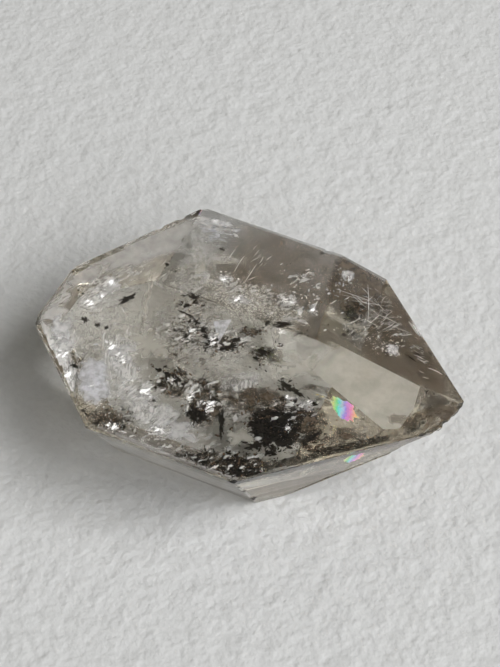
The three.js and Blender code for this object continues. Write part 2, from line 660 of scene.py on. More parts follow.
    def _chip_cutter(
        self, chip: Chip, finish: bpy.types.Material, chance: random.Random
    ) -> bpy.types.Object:
        """A rippled ball that stands mostly outside the stone.

        Args:
            chip: the chip it hollows out.
            finish: the material that its hollow takes.
            chance: the source of its uneven shape.

        Returns:
            The cutter.
        """
        bm = bmesh.new()
        centre = chip.centre()
        radius = chip.radius * MM
        large = chip.radius > self.large_chip_mm
        coarse = 9.0 if large else 1.7
        bmesh.ops.create_icosphere(bm, subdivisions=7 if large else 5, radius=radius)
        start = Vector([chance.uniform(-1, 1) for _ in range(3)]).normalized()
        shift = Vector([chance.uniform(-50, 50) for _ in range(3)])
        for vert in bm.verts:
            ray = vert.co.normalized()
            ribs = chip.ribs * math.sin(self.rib_count * ray.angle(start))
            fine = self.fine_share * noise.noise(ray * coarse * 4.0 + shift)
            lumps = chip.lumps * (noise.noise(ray * coarse + shift) + fine)
            vert.co = vert.co * (1.0 + ribs + lumps) + centre
        return to_object("chip_cutter", bm, (finish,))


# ---------------------------------------------------------------------------------------------
# What is sealed inside
# ---------------------------------------------------------------------------------------------


def many(kind: type[Item], columns: str, rows: Sequence[tuple], **shared: object) -> list[Item]:
    """Makes one item from each row.

    Args:
        kind: the dataclass to make.
        columns: its fields that a row gives, in order; a short row leaves out the last ones.
        rows: each item's own values.
        shared: the fields that are the same for all.

    Returns:
        The items in the order of the rows.
    """
    names = columns.split()
    return [kind(**dict(zip(names, row)), **shared) for row in rows]


@dataclass
class Inclusion:
    """One piece sealed in the quartz: its name, its material slot and its finish."""

    name: str
    slot: str
    finish: "SealedFinish | CloudFinish | RainbowFinish"

    def build(self, hull: Hull, window: TopWindow) -> bpy.types.Object:
        """Builds the piece.

        Args:
            hull: the crystal's faces, which nothing may reach.
            window: places what is seen through the top face.

        Returns:
            The finished object.
        """
        bm = bmesh.new()
        self.fill(bm, hull, window)
        return to_object(self.name, bm, (self.finish.make(),))

    def fill(self, bm: bmesh.types.BMesh, hull: Hull, window: TopWindow) -> None:
        """Adds what the piece is made of; each kind of piece has its own way."""
        raise NotImplementedError


class Shape(Enum):
    """The kinds of small inclusion."""

    LUMP = "a broken grain"
    FLAKE = "a thin plate"
    BLADE = "a long curved stroke"


@dataclass(frozen=True)
class Swarm:
    """A loose crowd of small inclusions, placed by where it is seen on the top face.

    Lengths are in millimetres. spread is along and across the crowd's own heading, turn. lay is
    the heading of each long piece in degrees from +X, and stray is how far it may differ.
    """

    at: Pair
    spread: Pair
    count: int
    size: Pair
    depth: Pair = (1.5, 5.0)
    turn: float = 22.0
    lay: float = 0.0
    stray: float = 180.0
    slim: float = 0.5
    dip: float = 35.0


@dataclass
class SealedPiece(Inclusion):
    """Inclusions of one finish, made as a joined mesh of many small pieces."""

    shape: Shape
    swarms: Sequence[Swarm]
    seed: int
    margin_mm: float = 0.12

    TRIES = 12
    ROLL = 70.0
    SMALL_BIAS = 1.6
    JAGGED = (0.6, 1.2)
    LUMP_HEIGHT = 0.8
    FLAKE_HEIGHT = 0.12
    BLADE_HEIGHT = 0.3
    TAPER = 0.55
    BOW = 0.6

    def fill(self, bm: bmesh.types.BMesh, hull: Hull, window: TopWindow) -> None:
        """Adds every swarm."""
        chance = random.Random(self.seed)
        for swarm in self.swarms:
            part = bmesh.new()
            for _ in range(swarm.count):
                self._add_one(part, swarm, hull, window, chance)
            join(bm, part)

    def _add_one(
        self,
        bm: bmesh.types.BMesh,
        swarm: Swarm,
        hull: Hull,
        window: TopWindow,
        chance: random.Random,
    ) -> None:
        """Adds one small inclusion, if it finds room under the faces.

        Args:
            bm: the mesh to add it to.
            swarm: the crowd it belongs to.
            hull: the crystal's faces.
            window: places what is seen through the top face.
            chance: the source of its place, size and turn.
        """
        turn = math.radians(swarm.turn)
        for _ in range(self.TRIES):
            along = chance.gauss(0.0, 0.5) * swarm.spread[0]
            across = chance.gauss(0.0, 0.5) * swarm.spread[1]
            x = swarm.at[0] + along * math.cos(turn) - across * math.sin(turn)
            y = swarm.at[1] + along * math.sin(turn) + across * math.cos(turn)
            size = swarm.size[0] + (swarm.size[1] - swarm.size[0]) * chance.random() ** self.SMALL_BIAS
            centre = window.under(x, y, chance.uniform(*swarm.depth))
            if hull.room(centre) > (0.5 * size + self.margin_mm) * MM:
                break
        else:
            return
        heading = swarm.lay + chance.uniform(-swarm.stray, swarm.stray)
        tilt = chance.uniform(-swarm.dip, swarm.dip)
        roll = chance.uniform(-self.ROLL, self.ROLL)
        place = Matrix.Translation(centre) @ turned(roll, tilt, heading)
        half = 0.5 * size * MM
        if self.shape is Shape.LUMP:
            height = half * swarm.slim * self.LUMP_HEIGHT
        elif self.shape is Shape.FLAKE:
            height = half * self.FLAKE_HEIGHT
        else:
            height = half * swarm.slim * self.BLADE_HEIGHT
        add = self._add_blade if self.shape is Shape.BLADE else self._add_lump
        add(bm, place, (half, half * swarm.slim, height), chance)

    def _add_lump(self, bm: bmesh.types.BMesh, place: Matrix, half: Triple, chance: random.Random) -> None:
        """Adds a jagged grain of the given half sizes."""
        new = bmesh.ops.create_icosphere(bm, subdivisions=1, radius=1.0)["verts"]
        for vert in new:
            vert.co *= chance.uniform(*self.JAGGED)
        bmesh.ops.transform(bm, matrix=place @ Matrix.Diagonal((*half, 1.0)), verts=new)

    def _add_blade(self, bm: bmesh.types.BMesh, place: Matrix, half: Triple, chance: random.Random) -> None:
        """Adds a pointed, slightly bent stroke of the given half sizes."""
        new = bmesh.ops.create_icosphere(bm, subdivisions=2, radius=1.0)["verts"]
        bend = chance.uniform(-0.5, 0.5)
        for vert in new:
            taper = 1.0 - self.TAPER * vert.co.x * vert.co.x
            vert.co.y = vert.co.y * taper
            vert.co.z = vert.co.z * taper
        stretch = Matrix.Diagonal((*half, 1.0))
        for vert in new:
            vert.co = stretch @ vert.co
            vert.co.y += bend * half[0] * (vert.co.x / half[0]) ** 2 * self.BOW
            vert.co = place @ vert.co


@dataclass(frozen=True)
class Stroke:
    """A fine pointed stroke between two places seen on the top face, in millimetres."""

    start: Pair
    end: Pair
    depth: float
    width: float = 0.1
    bend: float = 0.0


@dataclass
class StrokePiece(Inclusion):
    """Fine strokes of one finish, each placed one by one."""

    strokes: Sequence[Stroke]
    margin_mm: float = 0.1

    TAPER = 0.5
    HEIGHT = 0.6

    def fill(self, bm: bmesh.types.BMesh, hull: Hull, window: TopWindow) -> None:
        """Adds every stroke that has room."""
        for stroke in self.strokes:
            start = window.under(*stroke.start, stroke.depth)
            end = window.under(*stroke.end, stroke.depth)
            if min(hull.room(start), hull.room(end)) < self.margin_mm * MM:
                log.warning("%s: a stroke at %s has no room", self.name, stroke.start)
                continue
            self._add(bm, start, end, stroke)

    def _add(self, bm: bmesh.types.BMesh, start: Vector, end: Vector, stroke: Stroke) -> None:
        """Adds one stroke, thickest in the middle."""
        length = end - start
        new = bmesh.ops.create_icosphere(bm, subdivisions=2, radius=1.0)["verts"]
        aimed = length.to_track_quat("X", "Z").to_matrix().to_4x4()
        middle = Matrix.Translation((start + end) / 2)
        half = stroke.width * 0.5 * MM
        for vert in new:
            along = vert.co.x
            taper = half * (1.0 - self.TAPER * along * along)
            bow = stroke.bend * MM * (1.0 - along * along)
            height = vert.co.z * taper * self.HEIGHT
            vert.co = middle @ aimed @ Vector((along * length.length / 2, vert.co.y * taper + bow, height))


@dataclass(frozen=True)
class Sheet:
    """A thin film: where its middle is seen, how deep it is, its half sizes, and how it lies.

    lean is how far it is tipped up about its long axis and about its short axis, in degrees.
    sides are straight lines, each through two places seen on the top face, that cut it off.
    """

    at: Pair
    depth: float
    half: Pair
    turn: float = 22.0
    lean: Pair = (0.0, 0.0)
    wave: float = 0.25
    wave_mm: float = 2.5
    ragged: float = 0.25
    weight: float = 1.0
    sides: tuple[tuple[Pair, Pair], ...] = ()


@dataclass(frozen=True)
class FaceFilm:
    """A film just inside one flat face: the way that face looks, and a point of the film's middle.

    Lengths are in millimetres. The film fades out towards the face's own edges.
    """

    facing: Triple
    at: Triple
    half: Pair
    inset: float = 0.15
    fade: float = 0.1
    wave: float = 0.02
    wave_mm: float = 4.0
    ragged: float = 0.1
    weight: float = 1.0


@dataclass
class SheetPiece(Inclusion):
    """Thin films of one finish, each a wavy sheet with a ragged outline."""

    sheets: Sequence[Sheet | FaceFilm]
    seed: int
    thickness_mm: float = 0.02
    cell_mm: float = 0.22
    margin_mm: float = 0.15

    LOBES = 2.3
    TEARS = 5.0
    EDGE_FADE = 3.0
    FINE_RIPPLE = (0.3, 3.7)

    def fill(self, bm: bmesh.types.BMesh, hull: Hull, window: TopWindow) -> None:
        """Adds every sheet."""
        chance = random.Random(self.seed)
        for sheet in self.sheets:
            shift = Vector([chance.uniform(-90, 90) for _ in range(3)])
            join(bm, self._one_sheet(sheet, hull, window, shift))

    @staticmethod
    def _lie(sheet: Sheet | FaceFilm, hull: Hull, window: TopWindow) -> tuple[Matrix, Plane | None]:
        """Where a sheet lies.

        Args:
            sheet: its place and size.
            hull: the crystal's faces.
            window: places what is seen through the top face.

        Returns:
            Its own axes, and the face it lies under, if it is a face film.
        """
        if isinstance(sheet, FaceFilm):
            plane = hull.facing(Vector(sheet.facing))
            point = Vector(sheet.at) * MM
            point -= plane.normal * (plane.normal.dot(point) - plane.distance + sheet.inset * MM)
            faced = plane.normal.to_track_quat("Z", "Y").to_matrix().to_4x4()
            return Matrix.Translation(point) @ faced, plane
        middle = Matrix.Translation(window.under(*sheet.at, sheet.depth))
        return middle @ turned(*sheet.lean, sheet.turn), None

    def _one_sheet(
        self, sheet: Sheet | FaceFilm, hull: Hull, window: TopWindow, shift: Vector
    ) -> bmesh.types.BMesh:
        """One wavy sheet with its cover attribute, which fades towards its outline.

        Args:
            sheet: its place and size.
            hull: the crystal's faces.
            window: places what is seen through the top face.
            shift: where its waves are read in the noise.

        Returns:
            Its mesh.
        """
        bm = bmesh.new()
        cells = [max(4, round(2 * size / self.cell_mm)) for size in sheet.half]
        bmesh.ops.create_grid(bm, x_segments=cells[0], y_segments=cells[1], size=1.0)
        long_side, short_side = (size * MM for size in sheet.half)
        place, plane = self._lie(sheet, hull, window)
        cover = bm.verts.layers.float.new("cover")
        fine_height, fine_times = self.FINE_RIPPLE
        lost = []
        for vert in bm.verts:
            ray = Vector((vert.co.x, vert.co.y, 0.0))
            reach = 1.0 - sheet.ragged * (0.5 + noise.noise(ray.normalized() * self.LOBES + shift))
            reach -= 0.5 * sheet.ragged * abs(noise.noise(ray * self.TEARS + shift))
            vert[cover] = sheet.weight * max(0.0, min(1.0, (reach - ray.length) * self.EDGE_FADE))
            local = Vector((vert.co.x * long_side, vert.co.y * short_side, 0.0))
            ripple = noise.noise(local / (sheet.wave_mm * MM) + shift)
            ripple += fine_height * noise.noise(local * fine_times / (sheet.wave_mm * MM) + shift)
            local.z = sheet.wave * MM * ripple
            vert.co = place @ local
            if ray.length > reach or hull.room(vert.co) < self.margin_mm * MM:
                lost.append(vert)
            elif plane:
                spare = hull.room(vert.co, plane) - self.margin_mm * MM
                vert[cover] *= min(1.0, spare / (sheet.fade * MM))
        bmesh.ops.delete(bm, geom=lost, context="VERTS")
        if isinstance(sheet, Sheet):
            self._trim(bm, sheet, window)
        bmesh.ops.solidify(bm, geom=bm.faces[:], thickness=self.thickness_mm * MM)
        return bm

    @staticmethod
    def _trim(bm: bmesh.types.BMesh, sheet: Sheet, window: TopWindow) -> None:
        """Cuts a sheet off along its straight sides."""
        middle = window.under(*sheet.at, sheet.depth)
        for first, second in sheet.sides:
            start = window.under(*first, sheet.depth)
            along = window.under(*second, sheet.depth) - start
            outward = along.cross(Vector((0.0, 0.0, 1.0))).normalized()
            if outward.dot(middle - start) > 0:
                outward = -outward
            geometry = bm.verts[:] + bm.edges[:] + bm.faces[:]
            bmesh.ops.bisect_plane(
                bm, geom=geometry, plane_co=start, plane_no=outward, clear_outer=True
            )


@dataclass(frozen=True)
class CloudFinish:
    """A film of tiny bubbles or stain, and also each film that paints light and shade: it hides most where
    its mesh's cover is full.
    """

    name: str
    dark: Triple
    light: Triple
    grain_mm: float
    full: float
    least: float = 0.0
    edge: Pair = (0.35, 0.65)
    stretch: Triple = (1.0, 1.0, 1.0)
    turn: Triple = (0.0, 0.0, 0.0)
    roughness: float = 0.5
    metal: float = 0.0
    speck_share: float = 0.3

    def make(self) -> bpy.types.Material:
        """Builds the material."""
        material, graph = new_graph(self.name)
        place = graph.place(self.turn, self.stretch)
        cloud = graph.grain(self.grain_mm * MM, 6.0, place)
        speck = graph.grain(self.grain_mm * self.speck_share * MM, 3.0)
        cover = Field(graph, graph.add("ShaderNodeAttribute", {"attribute_name": "cover"}).outputs["Fac"])
        graph.surface(
            {
                "Base Color": graph.blend(speck.ease(*MIDDLE_TONES), self.dark, self.light),
                "Roughness": self.roughness,
                "Specular IOR Level": DULL,
                "Metallic": self.metal,
                "Alpha": cover * cloud.ease(*self.edge, self.least, self.full),
            }
        )
        return material


@dataclass(frozen=True)
class Plate:
    """A small flat crystal with straight sides, placed by where it is seen, in millimetres."""

    at: Pair
    depth: float
    sides: int
    radius: float
    turn: float
    slim: float = 1.0
    lean: Pair = (0.0, 0.0)
    thickness: float = 0.08


@dataclass
class PlatePiece(Inclusion):
    """Small flat crystals of one finish."""

    plates: Sequence[Plate]
    margin_mm: float = 0.3

    TOP_SHARE = 0.94
    BEVEL_SHARE = 0.2

    def fill(self, bm: bmesh.types.BMesh, hull: Hull, window: TopWindow) -> None:
        """Adds every plate that has room."""
        for plate in self.plates:
            centre = window.under(*plate.at, plate.depth)
            if hull.room(centre) < self.margin_mm * MM:
                log.warning("%s: a plate at %s has no room", self.name, plate.at)
                continue
            slim = Matrix.Diagonal((1.0, plate.slim, 1.0, 1.0))
            new = bmesh.ops.create_cone(
                bm,
                cap_ends=True,
                segments=plate.sides,
                radius1=plate.radius * MM,
                radius2=plate.radius * self.TOP_SHARE * MM,
                depth=plate.thickness * MM,
                matrix=Matrix.Translation(centre) @ turned(*plate.lean, plate.turn) @ slim,
            )["verts"]
            edges = list(dict.fromkeys(edge for vert in new for edge in vert.link_edges))
            round_edges(bm, edges, plate.thickness * self.BEVEL_SHARE * MM, 1)


# ---------------------------------------------------------------------------------------------
# The crystal's own inclusions
# ---------------------------------------------------------------------------------------------


class Sealed:
    """Everything sealed in the quartz, placed in millimetres by where the top face shows it.

    X runs from the blunt tip to the sharp one, Y away from the viewer and depth down from the top.
    """

    CARBON = SealedFinish("carbon", (0.008, 0.007, 0.006), (0.03, 0.024, 0.018), 0.12)
    TAR = SealedFinish("brown_tar", (0.05, 0.030, 0.018), (0.20, 0.125, 0.075), 0.15)
    SNOW = SealedFinish("white_feather", (0.82, 0.81, 0.80), (0.95, 0.94, 0.93), 0.2, 0.3)
    BLUISH_FROST_AND_SHEEN = SealedFinish("bluish_frost_and_painted_sheen", (0.66, 0.68, 0.74), (0.88, 0.89, 0.93), 0.2, 0.3)
    STRAW = SealedFinish("yellow_spark", (0.75, 0.62, 0.30), (0.92, 0.86, 0.55), 0.2, 0.3)
    ROSE = SealedFinish("pink_spark", (0.85, 0.45, 0.55), (0.95, 0.70, 0.75), 0.2, 0.3)

    def pieces(self) -> list[Inclusion]:
        """Every piece in the order it is made."""
        makers = (
            self.carbon_grains, self.tar_grains, self.olive_films, self.dark_strokes, self.snow_flakes,
            self.feathers, self.frost_layers, self.fine_needles, self.dark_lines, self.sparks,
            self.rosy_sparks, self.small_plates, self.veils, self.carbon_films, self.carbon_marks,
            self.tar_films, self.feather_films, self.upright_feathers, self.silver_cracks,
            self.left_glow, self.pale_haze, self.brown_haze, self.rim_frost, self.window_haze,
            self.brown_stain, self.carbon_specks, self.white_specks, self.brown_mottle,
            self.white_mottle, self.pale_patches, self.smoky_strips, self.frosted_disc,
            self.rainbow_crack,
        )
        return [make() for make in makers]

    def carbon_grains(self) -> SealedPiece:
        """Black grains, from single flecks to the crowded heart."""
        swarms = many(Swarm, "at spread count size depth turn", (
            ((-12.9, 0.7), (0.95, 0.12), 22, (0.23, 0.54), (1.4, 1.7), 60),
            ((-5.1, -6.1), (1.7, 2), 26, (0.2, 0.62), (0.9, 2.4)),
            ((-11.8, 12.1), (0.14, 0.12), 3, (0.2, 0.38), (0.6, 0.9)),
            ((-7.7, 10.2), (0.18, 0.12), 3, (0.2, 0.34), (1, 1.6)),
            ((-11.5, 6.2), (0.23, 0.24), 5, (0.2, 0.41), (1.4, 2.2)),
            ((-10.4, 5.8), (0.18, 0.18), 3, (0.2, 0.34), (1.4, 2.2)),
            ((-8.1, 4.8), (0.46, 0.48), 10, (0.16, 0.41), (0.9, 2.4)),
            ((-7.4, 3.1), (1.2, 1.3), 34, (0.1, 0.46), (0.9, 3.2)),
            ((-7.4, 1.4), (0.85, 0.12), 9, (0.2, 0.41), (2, 2.6), -8),
            ((-6.1, -0.3), (2.2, 1.7), 75, (0.08, 0.32), (0.9, 3.2)),
            ((-3.9, -0.2), (0.27, 0.24), 4, (0.26, 0.47), (1.5, 2.5)),
            ((-3.1, -1), (1.2, 0.96), 30, (0.13, 0.43), (0.9, 3)),
            ((-1.5, -0.2), (1, 0.96), 22, (0.13, 0.41), (0.9, 3)),
            ((-0.3, 2.5), (0.37, 0.24), 5, (0.16, 0.34), (0.9, 2.4)),
            ((1.1, 4.2), (0.92, 0.36), 26, (0.18, 0.49), (0.9, 2.4)),
            ((1.4, 0), (1.6, 1.6), 40, (0.1, 0.41), (0.9, 3.2)),
            ((3.5, 3.6), (0.73, 0.48), 12, (0.2, 0.46), (1.2, 2.6)),
            ((2.2, 1.7), (0.27, 0.24), 4, (0.26, 0.43), (1.2, 2.6)),
            ((2.1, 5.3), (0.27, 0.24), 4, (0.26, 0.43), (1.2, 2.6)),
            ((-2, 13), (0.091, 0.12), 1, (0.29, 0.34), (0.6, 1)),
            ((1.1, 13.8), (0.18, 0.12), 2, (0.26, 0.38), (0.4, 0.7)),
            ((-1.3, 11.4), (0.46, 0.36), 5, (0.13, 0.32), (0.8, 1.8)),
            ((-1, 6.3), (3.1, 4.1), 60, (0.07, 0.22), (1, 4)),
            ((6.4, 7.9), (0.82, 1.7), 34, (0.13, 0.54), (1.5, 3.5)),
            ((11.6, 7.9), (0.14, 0.18), 3, (0.2, 0.41), (0.6, 1)),
            ((16.7, 2.3), (0.3, 0.06), 5, (0.16, 0.3), (0.5, 0.8), 1),
            ((17.8, 3.9), (0.091, 0.12), 1, (0.26, 0.32), (0.3, 0.4)),
            ((17.3, 0.3), (0.27, 0.36), 4, (0.13, 0.3), (0.4, 0.8)),
            ((19.1, 1.5), (0.091, 0.12), 1, (0.23, 0.3), (0.3, 0.4)),
            ((-1.5, -9), (0.82, 1.4), 60, (0.16, 0.68), (1.2, 4)),
            ((1, -8.9), (0.15, 1.7), 34, (0.21, 0.49), (1.4, 2)),
            ((5.9, -6.6), (4, 2.9), 90, (0.2, 0.8), (0.8, 3)),
            ((5.5, -7.3), (2, 2.9), 110, (0.3, 1.1), (0.8, 2.6)),
            ((4.8, -2.5), (1.3, 0.5), 44, (0.16, 0.57), (1.2, 3), -19),
            ((7.6, -3.4), (0.27, 0.48), 7, (0.23, 0.49), (1.2, 2.4)),
            ((8.7, -7.1), (0.95, 0.12), 24, (0.18, 0.49), (1, 1.6), 64),
            ((3.6, -9.7), (0.73, 0.36), 14, (0.2, 0.49), (1.2, 2.5)),
            ((-1.1, -11.6), (0.27, 0.24), 5, (0.2, 0.46), (1.2, 2)),
            ((-0.5, -13.6), (1.2, 0.72), 60, (0.13, 0.46), (0.5, 1.8)),
            ((1.4, -13), (1.1, 1.3), 80, (0.13, 0.49), (0.5, 1.8)),
            ((4.4, -12.4), (2.7, 1.3), 80, (0.2, 0.6), (0.5, 1.6)),
            ((5.4, -12.9), (1.6, 0.48), 90, (0.18, 0.54), (0.4, 1.2)),
            ((6, -9.7), (1.6, 0.48), 34, (0.16, 0.46), (1, 2.4)),
            ((12.3, -6.5), (4.6, 0.5), 70, (0.1, 0.35), (0.5, 1.6), 41),
            ((-7.8, -12.8), (2, 2.2), 70, (0.13, 0.46), (0.6, 2)),
        ))
        return SealedPiece("carbon_grains", "carbon_inclusion", self.CARBON, Shape.LUMP, swarms, 11)

    def tar_grains(self) -> SealedPiece:
        """Brown grains round the black ones."""
        swarms = many(Swarm, "at spread count size depth turn", (
            ((-15.3, 2.9), (0.55, 0.36), 10, (0.13, 0.34), (1, 2)),
            ((-14.9, -2.1), (0.6, 0.08), 8, (0.13, 0.34), (0.8, 1), 30),
            ((-8.4, 10.4), (0.82, 0.6), 26, (0.08, 0.22), (1, 2.5)),
            ((-5.2, -6.4), (2, 2.3), 40, (0.2, 0.66), (0.9, 2.4)),
            ((-7.2, 2.6), (1.8, 2.2), 60, (0.08, 0.3), (0.9, 3.2)),
            ((-6.1, -0.3), (2.4, 1.9), 90, (0.08, 0.3), (0.9, 3.2)),
            ((-2.4, -0.5), (2, 0.96), 46, (0.13, 0.46), (0.9, 3)),
            ((-1.1, 1.9), (1.2, 0.48), 50, (0.13, 0.47), (2, 3)),
            ((1.4, 0), (1.8, 1.7), 90, (0.1, 0.41), (0.9, 3.2)),
            ((7.2, 8.9), (0.37, 1.1), 26, (0.13, 0.41), (0.9, 2.4)),
            ((-1.6, -7.4), (1.8, 3), 130, (0.13, 0.54), (0.8, 3.6)),
            ((5.3, -6.4), (4.6, 3.4), 90, (0.2, 0.7), (0.8, 3)),
            ((4.4, -12.4), (3.5, 1.6), 60, (0.2, 0.56), (0.5, 1.8)),
            ((8.8, -7.2), (2.4, 2.2), 110, (0.08, 0.32), (0.8, 3)),
            ((12.6, -6), (4.6, 0.6), 90, (0.08, 0.3), (0.5, 1.6), 41),
            ((-7.9, -12.6), (2.3, 2.4), 70, (0.1, 0.41), (0.6, 2.2)),
            ((-1.5, 7.4), (5, 4.2), 30, (0.07, 0.19), (1, 3)),
            ((14.2, 6.8), (1.5, 2.6), 30, (0.07, 0.2), (0.4, 1.2)),
        ))
        return SealedPiece("tar_grains", "carbon_inclusion", self.TAR, Shape.LUMP, swarms, 12)

    def olive_films(self) -> SheetPiece:
        """Greenish stain in the middle, near the right back edge and beside the heart."""
        finish = CloudFinish(
            "olive_film", (0.05, 0.052, 0.028), (0.20, 0.19, 0.10), 0.36, 0.85, 0.15, (0.42, 0.58),
        )
        sheets = many(Sheet, "at depth half weight turn", (
            ((1.3, 0.1), 1.3, (1.9, 1.2), 1, 10), ((2.6, 0), 1.1, (1.1, 0.7), 0.9, 10),
            ((6.4, 7.9), 1.3, (0.9, 1.7), 0.9), ((8.9, -6.2), 1.2, (1.6, 1.3), 0.5),
        ), lean=(5, 0), wave=0.1, ragged=0.6)
        return SheetPiece("olive_films", "carbon_inclusion", finish, sheets, 13, cell_mm=0.14)

    def dark_strokes(self) -> SealedPiece:
        """Dark bent strokes that cross each other."""
        swarms = many(Swarm, "at spread count size depth slim lay stray", (
            ((-1.7, -6.9), (1.6, 2.9), 44, (0.3, 1.4), (1.4, 4), 0.2, 87, 60),
            ((4.6, -6.1), (4.1, 3.1), 50, (0.3, 1.2), (1.4, 5), 0.28),
            ((3.6, -12.8), (3.3, 1.4), 40, (0.26, 0.9), (0.6, 2), 0.25),
            ((-5.1, -6.2), (1.5, 1.6), 16, (0.26, 0.9), (1.4, 3.5), 0.28),
            ((9.5, 11.3), (3.7, 3.6), 24, (0.39, 1.62), (0.8, 2.6), 0.08, -16, 50),
            ((13.9, 7.3), (1.3, 2.6), 20, (0.39, 1.35), (0.5, 1.6), 0.1, -11, 20),
        ))
        return SealedPiece("dark_strokes", "carbon_inclusion", self.CARBON, Shape.BLADE, swarms, 14)

    def snow_flakes(self) -> SealedPiece:
        """White flakes: bright clusters and loose specks."""
        swarms = many(Swarm, "at spread count size depth turn", (
            ((-5.8, 6.7), (0.82, 0.84), 60, (0.12, 0.45), (1.2, 2.8)),
            ((-7.7, 6.5), (0.64, 0.96), 34, (0.12, 0.4), (1.2, 2.8)),
            ((-11.2, 14), (0.64, 0.24), 10, (0.15, 0.4), (0.25, 0.4)),
            ((-13.2, 11.1), (0.37, 0.36), 7, (0.12, 0.35), (0.3, 0.5)),
            ((0.7, 10.2), (2.9, 0.45), 34, (0.15, 0.5), (1, 2.4), 70),
            ((3.1, 12.8), (0.37, 0.36), 6, (0.15, 0.4), (0.8, 1.4)),
            ((4.4, 12.3), (0.92, 1.2), 60, (0.08, 0.3), (0.8, 2.4)),
            ((3, 7.1), (0.46, 0.96), 20, (0.2, 0.6), (1, 2)),
            ((2.1, 6.2), (0.37, 0.84), 14, (0.15, 0.5), (1, 2)),
            ((-3.4, 5.2), (1.6, 0.84), 80, (0.1, 0.4), (1.5, 4)),
            ((0.5, 6.9), (1.3, 1.3), 70, (0.1, 0.4), (1.5, 4)),
            ((11.6, 5.6), (0.82, 1.1), 46, (0.12, 0.5), (0.8, 2)),
            ((5.3, -3.5), (0.55, 0.36), 16, (0.12, 0.34), (1, 1.6)),
            ((7.2, -3.7), (0.73, 0.72), 30, (0.1, 0.34), (0.9, 1.5)),
            ((6.4, -6.7), (0.46, 0.72), 18, (0.12, 0.36), (0.9, 1.2)),
            ((4.1, -7), (3.1, 2.9), 40, (0.05, 0.16), (0.9, 2)),
            ((-7.4, -13.1), (1.6, 1.2), 60, (0.12, 0.4), (0.5, 1.5)),
            ((-7.9, -9.1), (2.2, 1.9), 120, (0.1, 0.4), (0.8, 2.5)),
            ((3.7, -13), (3.1, 1.2), 60, (0.04, 0.14), (0.4, 1.4)),
            ((-5.3, 0.2), (3.1, 2.6), 90, (0.06, 0.26), (1, 4)),
            ((-3, -9), (3.7, 2.9), 120, (0.06, 0.2), (1, 3.5)),
            ((-2.2, 1), (3.3, 2.6), 90, (0.06, 0.18), (1, 3.5)),
            ((1.7, 0.2), (1.6, 1.4), 30, (0.06, 0.2), (1.2, 3)),
            ((-16.9, -5.3), (1.5, 3.1), 50, (0.12, 0.5), (0.8, 2.5)),
            ((-4.1, 10), (5.5, 3.6), 60, (0.04, 0.14), (0.8, 3)),
        ))
        return SealedPiece("snow_flakes", "white_veil", self.SNOW, Shape.FLAKE, swarms, 16)

    def feathers(self) -> SealedPiece:
        """White feathery strokes, most of them in the left half."""
        swarms = many(Swarm, "at spread count size depth slim lay stray", (
            ((-15.8, 0.1), (1.4, 1.8), 70, (0.3, 1.3), (0.8, 2.6), 0.12, 65, 14),
            ((-13.9, 5.4), (2.2, 1.7), 40, (0.3, 1), (0.8, 2.4), 0.12, 65, 16),
            ((-14, 6.8), (0.73, 0.48), 14, (0.3, 0.9), (0.5, 0.9), 0.2, 68, 10),
            ((-10.9, -5.6), (1.4, 2.2), 60, (0.4, 1.5), (0.8, 2.4), 0.12, 116, 14),
            ((-7.9, -9.1), (2.2, 1.7), 90, (0.2, 0.9), (0.8, 2.4), 0.2),
            ((-16.4, -5.7), (1.2, 2.2), 44, (0.4, 1.4), (0.8, 2.4), 0.16, 91, 24),
            ((-13.9, -9.4), (0.92, 2.6), 44, (0.4, 1.4), (0.6, 2), 0.18, 133, 20),
            ((-4.7, -11.7), (3.1, 2.4), 60, (0.2, 0.8), (0.8, 2.4), 0.16, 103, 40),
            ((-1.6, -6.9), (1.5, 2.6), 26, (0.4, 1.3), (0.9, 1.6), 0.12, 95, 30),
            ((-0.8, 0.3), (2.4, 1.9), 30, (0.2, 0.7), (1, 2.4), 0.18),
            ((-3.3, 10.4), (1.8, 1.9), 9, (0.4, 1.3), (0.8, 1.8), 0.07, 82, 10),
            ((8.7, 10.9), (2.2, 2.4), 26, (0.5, 2), (0.6, 2.2), 0.05, -16, 14),
            ((9.5, 8.8), (2.4, 2.2), 18, (0.5, 2), (0.6, 2.2), 0.05, 68, 20),
            ((14.2, 6.8), (1.1, 2.2), 24, (0.4, 1.2), (0.4, 1.1), 0.09, -6, 12),
            ((9, -2.1), (2, 0.96), 12, (0.4, 1.2), (0.8, 1.6), 0.06, 1, 16),
            ((5.3, -7), (3.7, 2.9), 14, (0.2, 0.8), (0.8, 1.6), 0.12),
        ))
        return SealedPiece("white_feathers", "white_veil", self.SNOW, Shape.BLADE, swarms, 17)

    def frost_layers(self) -> SealedPiece:
        """Bluish-white layers in the upper corner and by the left disc, which are partly painted reflection
        for the bluish sheen there, and loose bluish flakes.
        """
        swarms = many(Swarm, "at spread count size depth slim lay stray", (
            # The first three crowds are partly painted reflection: bluish sheen at the upper corner and by
            # the left disc.
            ((-9.3, 13), (1.6, 1.1), 60, (0.4, 1.6), (0.4, 1.2), 0.14, 15, 7),
            ((-9.1, 11.1), (1.3, 0.72), 34, (0.3, 1), (0.6, 1.6), 0.16, 15, 14),
            ((-11.4, -9.2), (1.5, 3.1), 60, (0.2, 0.8), (0.8, 2), 0.3),
            ((1.9, 0.3), (1.3, 0.96), 24, (0.1, 0.4), (1.2, 2.6), 0.4),
            ((2.8, 9.4), (4.6, 2.9), 50, (0.1, 0.5), (0.8, 3), 0.4),
        ))
        return SealedPiece("frost_layers", "white_veil", self.BLUISH_FROST_AND_SHEEN, Shape.BLADE, swarms, 18)

